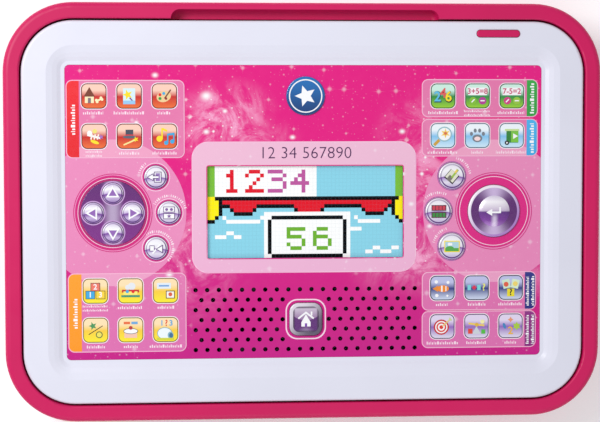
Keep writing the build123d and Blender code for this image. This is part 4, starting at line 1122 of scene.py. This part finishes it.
def draw_sum(p, text, left, right):
    p.bar(0, 0.36, 1.5, 0.6, rgb(250, 246, 250))
    p.sign(0, 0.36, 0.62, text, rgb(200, 70, 110))
    p.disc(-0.36, -0.38, 0.3, left)
    p.bar(-0.36, -0.38, 0.34, 0.09, WHITE, radians(45))
    p.disc(0.4, -0.38, 0.3, right)
    p.bar(0.4, -0.38, 0.34, 0.09, WHITE)


def draw_adding(p):
    draw_sum(p, "3+5=8", rgb(130, 190, 50), rgb(180, 50, 150))


def draw_taking(p):
    draw_sum(p, "7-5=2", rgb(206, 60, 130), rgb(150, 196, 60))


def draw_magnifier(p):
    p.bar(-0.5, -0.55, 0.6, 0.24, rgb(206, 160, 60), radians(45))
    p.disc(0.12, 0.12, 0.6, rgb(150, 190, 200))
    p.disc(0.12, 0.12, 0.5, rgb(246, 250, 252))
    p.star(0.2, 0.18, 0.4, rgb(246, 206, 90), 6)
    p.disc(0.2, 0.18, 0.12, rgb(220, 110, 80), 12)


def draw_paw(p):
    p.oval(0, -0.22, 0.8, 0.62, rgb(120, 126, 136))
    for x, y in ((-0.48, 0.14), (-0.18, 0.4), (0.18, 0.4), (0.48, 0.14)):
        p.oval(x, y, 0.24, 0.32, rgb(120, 126, 136))
    p.oval(0, -0.25, 0.5, 0.34, rgb(250, 220, 220))


def draw_bin(p):
    p.bar(0.05, -0.1, 0.95, 0.95, rgb(40, 130, 50))
    p.bar(0.25, -0.1, 0.6, 0.88, rgb(120, 196, 60))
    p.bar(0.03, 0.44, 1.15, 0.16, rgb(200, 226, 150))
    p.star(0.25, -0.05, 0.26, WHITE, 3, radians(30), 0.5)
    p.disc(-0.38, -0.58, 0.18, BLACK, 14)
    p.disc(-0.38, -0.58, 0.07, WHITE, 10)


def draw_blocks(p):
    blocks = ((-0.4, -0.3, SKY, "1"),
              (0.4, -0.3, rgb(250, 214, 60), "3"),
              (0.0, 0.32, rgb(240, 120, 100), "2"))
    for x, y, color, text in blocks:
        p.bar(x, y, 0.74, 0.66, BLACK)
        p.bar(x, y, 0.66, 0.58, color)
        p.sign(x, y, 0.6, text, WHITE)


def draw_boat(p):
    p.disc(0.1, 0.36, 0.3, rgb(230, 234, 240), 12)
    p.disc(-0.22, 0.28, 0.2, rgb(230, 234, 240), 12)
    p.bar(0, -0.02, 1.35, 0.22, rgb(200, 40, 40))
    p.bar(0, -0.18, 1.1, 0.28, rgb(250, 236, 120))
    p.bar(0, -0.42, 1.45, 0.16, rgb(60, 150, 120))
    p.disc(-0.25, -0.05, 0.13, SKY, 12)
    p.disc(0.2, -0.05, 0.13, RED, 12)


def draw_book(p):
    p.bar(-0.12, 0.38, 1.1, 0.46, rgb(226, 236, 246))
    p.bar(-0.12, 0.38, 0.8, 0.12, rgb(110, 160, 220))
    p.bar(0.38, -0.32, 0.7, 0.62, rgb(90, 50, 40))
    p.bar(0.38, -0.32, 0.58, 0.5, rgb(250, 246, 236))
    p.disc(0.38, -0.3, 0.16, rgb(220, 90, 60), 12)


def draw_halves(p):
    p.bar(0, 0.0, 1.3, 0.06, BLACK, radians(32))
    p.star(-0.22, 0.34, 0.34, rgb(70, 150, 90), 5, radians(18))
    p.disc(0.28, -0.36, 0.27, rgb(80, 110, 60), 16)
    p.disc(0.28, -0.36, 0.2, rgb(240, 226, 90), 16)


def draw_cake(p):
    p.bar(-0.3, 0.55, 0.5, 0.2, rgb(236, 110, 60))
    p.bar(0.3, 0.55, 0.5, 0.2, rgb(110, 170, 220))
    p.bar(0, -0.4, 1.0, 0.46, rgb(246, 200, 180))
    p.oval(0, -0.1, 1.15, 0.46, BLACK)
    p.oval(0, -0.1, 1.07, 0.38, WHITE)
    p.disc(0, 0.16, 0.15, rgb(190, 50, 50), 12)


def draw_igloo(p):
    p.sign(-0.3, 0.5, 0.62, "1", rgb(100, 170, 220))
    p.sign(0.05, 0.5, 0.7, "?", rgb(230, 90, 50))
    p.sign(0.42, 0.5, 0.62, "3", rgb(100, 170, 220))
    p.oval(-0.08, -0.3, 1.2, 0.95, rgb(120, 170, 190))
    p.oval(-0.08, -0.3, 1.1, 0.86, rgb(238, 248, 252))
    p.oval(0.38, -0.45, 0.46, 0.56, rgb(130, 180, 200))
    p.oval(0.42, -0.47, 0.3, 0.4, rgb(60, 110, 150))
    p.bar(-0.05, -0.74, 1.35, 0.16, rgb(210, 216, 60))


def draw_fish(p):
    p.tri(-0.5, -0.05, 0.3, rgb(236, 140, 40), radians(90))
    p.oval(0.05, -0.05, 0.95, 0.55, rgb(246, 140, 40))
    p.bar(-0.05, -0.05, 0.12, 0.5, WHITE)
    p.bar(0.28, -0.05, 0.08, 0.42, WHITE)
    for x, y, r in ((-0.5, 0.5, 0.14), (0.45, 0.45, 0.12), (-0.45, -0.6, 0.14), (0.4, -0.62, 0.09)):
        p.disc(x, y, r, WHITE, 12)


def draw_series(p):
    p.bar(-0.6, 0.02, 0.28, 0.42, rgb(120, 214, 220))
    p.disc(-0.2, 0.02, 0.2, rgb(220, 40, 80), 4)
    p.bar(0.18, 0.02, 0.28, 0.42, rgb(120, 214, 220))
    p.sign(0.58, 0.02, 0.8, "?", rgb(236, 236, 120))


def draw_cards(p):
    p.bar(-0.36, 0.3, 0.6, 0.72, rgb(206, 232, 206), radians(12))
    p.bar(0.36, 0.3, 0.6, 0.72, rgb(216, 236, 206), radians(-12))
    p.disc(-0.38, 0.26, 0.2, rgb(226, 90, 60), 14)
    p.disc(0.36, 0.3, 0.2, rgb(240, 216, 110), 14)
    p.bar(0, -0.4, 0.58, 0.62, rgb(236, 220, 30))
    p.sign(0, -0.4, 0.72, "?", BLACK)


def draw_target(p):
    for radius, color in ((0.62, rgb(200, 20, 30)), (0.5, WHITE), (0.4, rgb(226, 60, 50)), (0.28, WHITE),
                          (0.16, rgb(220, 50, 40))):
        p.disc(-0.08, -0.05, radius, color, 20)
    p.bar(0.3, 0.28, 0.8, 0.09, rgb(236, 206, 110), radians(42))
    p.tri(0.62, 0.56, 0.18, rgb(206, 220, 140), radians(10))


def draw_scales(p):
    p.tri(0, -0.42, 0.42, rgb(206, 212, 220))
    p.bar(0, 0.14, 1.3, 0.15, rgb(240, 206, 90), radians(-8))
    p.disc(0.02, 0.12, 0.16, rgb(226, 180, 60), 12)
    p.bar(-0.5, -0.4, 0.36, 0.4, rgb(226, 60, 40))
    p.bar(0.55, -0.44, 0.32, 0.34, rgb(80, 190, 60))
    p.disc(0.48, 0.36, 0.17, rgb(246, 240, 170), 12)


def draw_logic(p):
    p.oval(-0.5, 0.0, 0.24, 0.5, rgb(60, 130, 190), radians(20))
    p.star(0.0, 0.5, 0.24, rgb(236, 150, 110), 4, 0, 0.5)
    p.sign(0.0, -0.4, 0.85, "2", rgb(236, 180, 50))
    p.star(0.5, -0.02, 0.34, rgb(170, 206, 60), 6, 0, 0.6)


RED_GEL = (rgb(238, 110, 50), rgb(202, 26, 26), rgb(250, 206, 186))
GREEN_GEL = (rgb(150, 210, 40), rgb(20, 140, 60), rgb(206, 240, 226))
BLUE_GEL = (rgb(206, 234, 250), rgb(130, 196, 240), rgb(240, 248, 254))
YELLOW_GEL = (rgb(250, 236, 40), rgb(250, 206, 60), rgb(254, 226, 180))
NIGHT_GEL = (rgb(206, 216, 240), rgb(28, 44, 130), rgb(190, 194, 232))
VIOLET_GEL = (rgb(226, 220, 240), rgb(146, 100, 190), rgb(226, 214, 240))
ICONS = (
    # name, place, finish, drawing, length of its caption in millimetres
    ("pets", TOUCH_LEFT_XS[0], TOUCH_TOP_YS[0], RED_GEL, draw_house, 11.5),
    ("mirror", TOUCH_LEFT_XS[1], TOUCH_TOP_YS[0], RED_GEL, draw_mirror, 16.5),
    ("palette", TOUCH_LEFT_XS[2], TOUCH_TOP_YS[0], RED_GEL, draw_palette, 7.5),
    ("band", TOUCH_LEFT_XS[0], TOUCH_TOP_YS[1], RED_GEL, draw_band, 9.0),
    ("stage", TOUCH_LEFT_XS[1], TOUCH_TOP_YS[1], RED_GEL, draw_stage, 11.0),
    ("notes", TOUCH_LEFT_XS[2], TOUCH_TOP_YS[1], RED_GEL, draw_notes, 13.0),
    ("digits", TOUCH_RIGHT_XS[0], TOUCH_TOP_YS[0], GREEN_GEL, draw_digits, 16.0),
    ("adding", TOUCH_RIGHT_XS[1], TOUCH_TOP_YS[0], GREEN_GEL, draw_adding, 14.5),
    ("signs", TOUCH_RIGHT_XS[2], TOUCH_TOP_YS[0], GREEN_GEL, draw_taking, 15.5),
    ("magnifier", TOUCH_RIGHT_XS[0], TOUCH_TOP_YS[1], BLUE_GEL, draw_magnifier, 16.5),
    ("paw", TOUCH_RIGHT_XS[1], TOUCH_TOP_YS[1], BLUE_GEL, draw_paw, 6.5),
    ("bin", TOUCH_RIGHT_XS[2], TOUCH_TOP_YS[1], BLUE_GEL, draw_bin, 17.0),
    ("blocks", TOUCH_LEFT_XS[0], TOUCH_LOW_YS[0], YELLOW_GEL, draw_blocks, 13.5),
    ("boat", TOUCH_LEFT_XS[1], TOUCH_LOW_YS[0], YELLOW_GEL, draw_boat, 13.5),
    ("book", TOUCH_LEFT_XS[2], TOUCH_LOW_YS[0], YELLOW_GEL, draw_book, 8.5),
    ("halves", TOUCH_LEFT_XS[0], TOUCH_LOW_YS[1], YELLOW_GEL, draw_halves, 9.5),
    ("cake", TOUCH_LEFT_XS[1], TOUCH_LOW_YS[1], YELLOW_GEL, draw_cake, 7.5),
    ("igloo", TOUCH_LEFT_XS[2], TOUCH_LOW_YS[1], YELLOW_GEL, draw_igloo, 17.0),
    ("fish", TOUCH_RIGHT_XS[0], TOUCH_LOW_YS[0], NIGHT_GEL, draw_fish, 7.0),
    ("series", TOUCH_RIGHT_XS[1], TOUCH_LOW_YS[0], NIGHT_GEL, draw_series, 9.5),
    ("cards", TOUCH_RIGHT_XS[2], TOUCH_LOW_YS[0], NIGHT_GEL, draw_cards, 13.5),
    ("target", TOUCH_RIGHT_XS[0], TOUCH_LOW_YS[1], VIOLET_GEL, draw_target, 17.0),
    ("scales", TOUCH_RIGHT_XS[1], TOUCH_LOW_YS[1], VIOLET_GEL, draw_scales, 11.0),
    ("logic", TOUCH_RIGHT_XS[2], TOUCH_LOW_YS[1], VIOLET_GEL, draw_logic, 6.5),
)
TWO_ROW_CAPTIONS = ("band", "adding", "blocks")
CAPTION_DROP = 8.9 * MM           # from the middle of the touch pad to the middle of its caption
TWO_ROW_DROP = 9.15 * MM
CAPTION_HEIGHT = 1.7 * MM
TWO_ROW_HEIGHT = 1.25 * MM


def add_icons():
    for name, x, y, gel, picture, length in ICONS:
        add_tile("icon_" + name, x, y, *gel, picture)
        if name in TWO_ROW_CAPTIONS:
            add_caption("caption_" + name, x, y - TWO_ROW_DROP, length * MM, 2, TWO_ROW_HEIGHT)
        else:
            add_caption("caption_" + name, x, y - CAPTION_DROP, length * MM, 1, CAPTION_HEIGHT)


# ------------------------------------------------------------------ keys
CAP_RISE = 0.35 * MM       # domes of the small keys
SIGN_SINK = 0.3 * MM       # their signs start this far down in the dome
FLANGE = 0.8 * MM          # round a cap, under the sheet
GEL_INSET = 0.72 * MM      # gel inside the cap's rounded edge


def key_top(node):
    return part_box(node)[1][2]


def cap_radius(node):
    """Radius of a round key's cap, inside its flange."""
    low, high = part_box(node)
    return (high[0] - low[0]) / 2 - FLANGE


def add_gel_cap(node, material, rise):
    """Clear-coated dome on a round key's cap; gives its middle and its highest point."""
    x, y, _ = middle(node)
    top, radius = key_top(node), cap_radius(node) - GEL_INSET
    cap = tube(node + "_gel", x, y, top - 0.1 * MM, top + 0.02 * MM, radius, 40)
    steps = 6
    lifts = [rise * (cos(i / steps * pi / 2) - cos((i + 1) / steps * pi / 2)) for i in range(steps)]
    crown(cap, [(radius * 0.9 / steps, lift) for lift in reversed(lifts)])
    smooth(cap)
    finish_piece(cap, material, node)
    paint(node, material)
    return x, y, top + 0.02 * MM + rise


ARROWS = {"up_key": 90, "left_key": 180, "down_key": 270, "right_key": 0}      # degrees
RING_WINE = rgb(206, 16, 122)
RING_PINK = rgb(236, 140, 192)
# printed rings round the arrow pad and the enter key:
# name, outer and inner radius in millimetres, layer, colour
ARROW_RINGS = (
    ("ground", 18.3, 17.15, 1.8, rgb(178, 14, 110)),
    ("pale_line", 18.65, 18.3, 3, PALE_LINE),
    ("band", 20.0, 18.65, 1.8, rgb(210, 16, 122)),
    ("gap", 20.5, 20.0, 1.8, RING_PINK),
    ("outer_line", 20.9, 20.5, 3, RING_WINE),
)
ENTER_RINGS = (
    ("ground", 18.4, 14.4, 2.4, rgb(220, 14, 128)),
    ("pale_line", 18.8, 18.4, 3, PALE_LINE),
    ("band", 19.9, 18.8, 2.4, rgb(212, 14, 124)),
    ("gap", 20.5, 19.9, 2.4, RING_PINK),
    ("outer_line", 20.9, 20.5, 3, RING_WINE),
)
# rings round the small round keys:
# outer and inner radius beyond the cap in millimetres, colours of the line and the band
LEFT_RING = (1.5, 1.05, PALE_LINE, RING_MAGENTA)
RIGHT_RING = (0.8, 0.5, rgb(140, 50, 150), rgb(232, 170, 216))


def add_rings(name, x, y, rings):
    for part, outer, inner, layer, color in rings:
        add_ring(name + "_" + part, x, y, outer * MM, inner * MM, FACE_Z, layer_z(layer), color)


def add_arrow_keys():
    for node, angle in ARROWS.items():
        x, y, _ = middle(node)
        material = cap_painted_sheen(node + "_painted_sheen", x, y, cap_radius(node), rgb(200, 178, 222), rgb(128, 78, 164))
        x, y, top = add_gel_cap(node, material, CAP_RISE)
        turn = radians(angle - 90)
        p = Picture(x, y, top, 5.6 * MM, SIGN_SINK)
        p.tri(0, 0, 0.74, WHITE, turn)
        p.tri(0, 0, 0.44, rgb(146, 100, 180), turn)
        p.done(node + "_arrow", node)
    x, y, _ = middle("arrow_pad")
    add_rings("arrow_pad", x, y, ARROW_RINGS)
    pad_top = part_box("arrow_pad")[1][2]
    for node in ARROWS:
        kx, ky, _ = middle(node)
        add_ring(node + "_rim", kx, ky, 6.5 * MM, 5.9 * MM, pad_top - 0.05 * MM, pad_top + LAYER,
                 rgb(200, 160, 214))


def sign_exit(p):
    p.bar(0.2, 0, 0.74, 1.1, DEEP_PURPLE)
    p.bar(0.2, 0, 0.60, 0.96, WHITE)
    p.bar(0.2, 0, 0.44, 0.80, rgb(150, 116, 184))
    p.bar(-0.22, 0, 0.92, 0.34, DEEP_PURPLE)
    p.tri(-0.46, 0, 0.46, DEEP_PURPLE, radians(90))
    p.bar(-0.12, 0, 0.8, 0.18, WHITE)
    p.tri(-0.46, 0, 0.33, WHITE, radians(90))


def sign_players(p):
    for y in (0.34, -0.34):
        p.bar(0, y, 1.16, 0.58, DEEP_PURPLE)
        p.bar(0, y, 1.04, 0.46, WHITE)
    for x in (-0.24, 0.24):
        p.disc(x, 0.34, 0.15, rgb(130, 90, 160), 12)
    p.star(0, -0.34, 0.24, rgb(130, 90, 160), 5, 0)


def sign_sound(p):
    p.bar(-0.42, 0.02, 0.5, 0.6, DEEP_PURPLE)
    p.bar(-0.42, 0.02, 0.38, 0.48, WHITE)
    p.bar(0.05, 0.0, 0.16, 1.3, WHITE, radians(-40))
    p.tri(0.42, -0.05, 0.5, DEEP_PURPLE, radians(-30))
    p.tri(0.42, -0.05, 0.36, WHITE, radians(-30))


def sign_notepad(p):
    p.bar(-0.05, -0.05, 0.96, 0.96, BLACK, radians(-40))
    p.bar(-0.03, 0.0, 0.84, 0.84, rgb(226, 226, 206), radians(-40))
    p.bar(-0.22, -0.2, 0.4, 0.5, rgb(120, 116, 110), radians(-40))
    p.bar(0.22, 0.2, 0.9, 0.17, rgb(150, 190, 70), radians(52))
    p.bar(0.34, 0.4, 0.3, 0.17, rgb(240, 206, 90), radians(52))


def sign_word(p):
    for y, color in ((0.3, rgb(206, 60, 80)), (-0.32, rgb(50, 140, 60))):
        p.bar(0, y, 1.3, 0.5, rgb(90, 20, 60))
        for x in (-0.45, -0.15, 0.15, 0.45):
            p.bar(x, y, 0.24, 0.36, color)


def sign_picture(p):
    p.bar(0, 0.0, 1.36, 1.0, rgb(250, 226, 60))
    p.bar(0, 0.0, 1.2, 0.84, rgb(176, 214, 226))
    p.bar(0, -0.28, 1.2, 0.28, rgb(80, 170, 70))
    p.oval(-0.2, -0.12, 0.7, 0.3, rgb(80, 170, 70))
    p.disc(-0.25, 0.2, 0.14, WHITE, 12)
    p.disc(-0.08, 0.2, 0.12, WHITE, 12)


ROUND_SIGNS = {"exit_key": sign_exit, "players_key": sign_players, "sound_key": sign_sound,
               "notepad_key": sign_notepad, "word_key": sign_word, "picture_key": sign_picture}
ARC_CAPTIONS = {"exit_key": (168, 122), "players_key": (152, 8), "sound_key": (128, -48),
                "notepad_key": (78, 4), "word_key": (136, 62), "picture_key": (170, 104)}      # degrees


def add_arc_caption(name, x, y, radius, start, end):
    """Small upright marks along an arc, clockwise from start to end."""
    made = []
    step = 1.15 * MM / radius
    count = int(radians(start - end) / step)
    for index in range(count):
        angle = radians(start) - (index + 0.5) * step
        tall = 1.15 * MM if index % 3 else 1.5 * MM
        made.append(bar("mark", x + cos(angle) * radius, y + sin(angle) * radius, layer_z(0), layer_z(2.6),
                        tall, (0.30 + 0.16 * (index % 4)) * MM, angle))
    print_on(tint(join(name, made), CAPTION_WHITE))


def add_round_keys():
    for node, sign in ROUND_SIGNS.items():
        x, y, _ = middle(node)
        radius = cap_radius(node)
        material = cap_painted_sheen(node + "_painted_sheen", x, y, radius, rgb(232, 226, 242), rgb(176, 148, 208))
        x, y, top = add_gel_cap(node, material, CAP_RISE)
        p = Picture(x, y, top, radius * 0.86, SIGN_SINK)
        sign(p)
        p.done(node + "_sign", node)
        outer, inner, line_color, band_color = LEFT_RING if x < 0 else RIGHT_RING
        line = radius + inner * MM
        add_ring(node + "_outer_line", x, y, radius + outer * MM, line, FACE_Z, layer_z(2), line_color)
        add_ring(node + "_ring", x, y, line, radius + HOLE_GAP, FACE_Z, layer_z(1.7), band_color)
        add_arc_caption(node + "_caption", x, y, radius + 2.9 * MM, *ARC_CAPTIONS[node])


def add_enter_key():
    """Large round key: gel ring, a small dome in its middle and an arrow."""
    x, y, _ = middle("enter_key")
    material = enter_painted_sheen("enter_painted_sheen", x, y, cap_radius("enter_key"))
    x, y, top = add_gel_cap("enter_key", material, 0.5 * MM)
    radius = 8.4 * MM
    dome = tube("enter_key_dome", x, y, top - 0.6 * MM, top - 0.1 * MM, radius, 56)
    steps = 7
    crown(dome, [(radius * 0.9 / steps, 0.6 * MM * 0.6 ** i) for i in range(steps)])
    smooth(dome)
    finish_piece(dome, enter_dome_painted_sheen("enter_dome_painted_sheen", x, y, radius), "enter_key")
    high = max(v.co.z for v in dome.data.vertices)
    p = Picture(x, y, high, 6.0 * MM, 0.4 * MM)
    p.bar(0.1, -0.1, 0.9, 0.16, WHITE)
    p.bar(0.5, 0.12, 0.16, 0.5, WHITE)
    p.tri(-0.4, -0.1, 0.36, WHITE, radians(90))
    p.done("enter_key_arrow", "enter_key")
    add_rings("enter", x, y, ENTER_RINGS)


def add_home_key():
    """Square key: silver frame with painted light, sunk gel with painted sheen and shade, and a small
    house, inside a printed line.
    """
    x, y, _ = middle("home_key")
    top = key_top("home_key")
    paint("home_key", home_frame_painted_light("home_frame_painted_light", x, y, 9.0 * MM))
    sunk = 13.8 * MM
    plate = slab("home_key_gel", x, y, top - 0.5 * MM, top - 0.15 * MM, sunk, sunk, 3.2 * MM, 8)
    crown(plate, [(0.5 * MM, 0.12 * MM), (0.9 * MM, 0.10 * MM), (1.4 * MM, 0.06 * MM)])
    smooth(plate)
    finish_piece(plate, home_gel_painted_sheen("home_gel_painted_sheen", x, y, sunk / 2), "home_key")
    p = Picture(x, y, max(v.co.z for v in plate.data.vertices), 6.0 * MM, 0.2 * MM)
    for side in (-1, 1):
        p.bar(side * 0.33, 0.36, 0.92, 0.15, WHITE, side * radians(-38))
    p.bar(0.5, 0.52, 0.15, 0.36, WHITE)
    p.tri(0, -0.02, 0.48, WHITE)
    p.bar(0, -0.44, 0.83, 0.4, WHITE)
    p.bar(0, -0.5, 0.2, 0.3, rgb(120, 60, 170))
    p.done("home_key_house", "home_key")
    outer, inner = 21.8 * MM, 20.4 * MM
    frame_line = slab("home_key_frame_line", x, y, FACE_Z, layer_z(3), outer, outer, 6.3 * MM)
    cut_out(frame_line, slab("hole", x, y, FACE_Z - MM, FACE_Z + MM, inner, inner, 5.8 * MM))
    tint(frame_line, rgb(250, 214, 234))
    print_on(frame_line)


# ------------------------------------------------------------------ badge
def add_badge():
    """Blue badge: a plain white star in a thin ring."""
    x, y, _ = middle("badge")
    low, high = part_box("badge")
    top = high[2]
    radius = (high[0] - low[0]) / 2
    n = Nodes("badge_blue_gloss")
    _, py, _ = n.split()
    # painted light: the blue turns lighter towards the far side
    n.set(Base_Color=n.mix(n.ramp(py, y - radius, y + radius), rgb(0, 58, 120), rgb(20, 110, 184)),
          Roughness=n.uneven(300.0, 0.16, 0.24))
    n.shader.inputs["Coat Weight"].default_value = 0.7
    paint("badge", n.material)
    p = Picture(x, y, top - 0.02 * MM, radius)
    p.star(0, 0, 0.56, WHITE, 5, radians(18), 0.46)
    p.done("badge_star")
    step = 0.05 * MM
    add_ring("badge_ring", x, y, radius * 0.86, radius * 0.80, top - step, top + step, WHITE)


# ------------------------------------------------------------------ keyboard legends
KEY_ROWS = ("ZXCV     NM.,", "ASDFGHJKL:;-+", "QWERTYUIOP()=", "1234567890+-?", "<>*/#%&!@[]{}")
LEGEND_SIZE = 6.2 * MM
LEGEND_PLUM = rgb(150, 40, 130)
NUMBER_BLUE = rgb(60, 60, 150)


def add_legends():
    """Legends printed on the keys of the keyboard; the wide space key stays plain."""
    low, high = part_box("keyboard_plate")
    columns, rows, margin = 13, 5, 3.0 * MM
    pitch_x = (high[0] - low[0] - 2 * margin) / columns
    pitch_y = (high[1] - low[1] - 2 * margin) / rows
    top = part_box("keyboard_keys")[1][2] - 0.35 * MM
    ink = stored_ink("legend_ink", 0.5, 0.0)
    made = []
    for row, legends in enumerate(KEY_ROWS):
        for column, legend in enumerate(legends):
            if legend == " ":
                continue
            x = low[0] + margin + (column + 0.5) * pitch_x
            y = low[1] + margin + (row + 0.5) * pitch_y
            deselect()
            bpy.ops.object.text_add(location=(x, y, top))
            sign = bpy.context.object
            sign.data.body = legend
            sign.data.size = LEGEND_SIZE
            sign.data.align_x = "CENTER"
            sign.data.align_y = "CENTER"
            sign.data.resolution_u = 2
            sign.data.extrude = 0.05 * MM
            bpy.ops.object.convert(target="MESH")
            color = NUMBER_BLUE if row == 3 else LEGEND_PLUM
            made.append(tint(settle("legend"), color))
    finish_piece(join("key_legends", made), ink, "base")


# ------------------------------------------------------------------ make everything
def main():
    add_camera()
    add_light()
    add_floor()
    paint_model()
    PRINTED["ink"] = stored_ink("flat_ink")
    PRINTED["gel"] = stored_ink("gel_ink", 0.22, 0.3)
    PRINTED["panel"] = print_ink("panel_print", rgb(228, 122, 172), rgb(220, 112, 176), 0.3, 0.9, 0.4)
    PRINTED["circle"] = print_ink("circle_print", rgb(232, 140, 187), rgb(230, 132, 184), 0.3, 0.9)
    PRINTED["frame"] = print_ink("frame_print", rgb(238, 188, 214), rgb(236, 174, 212), 0.15, 0.8)
    add_circles()
    for name, values in PANELS.items():
        add_panel(name, *values)
    add_screen_frame()
    add_screen_picture()
    add_icons()
    add_arrow_keys()
    add_round_keys()
    add_enter_key()
    add_home_key()
    add_badge()
    add_legends()


main()
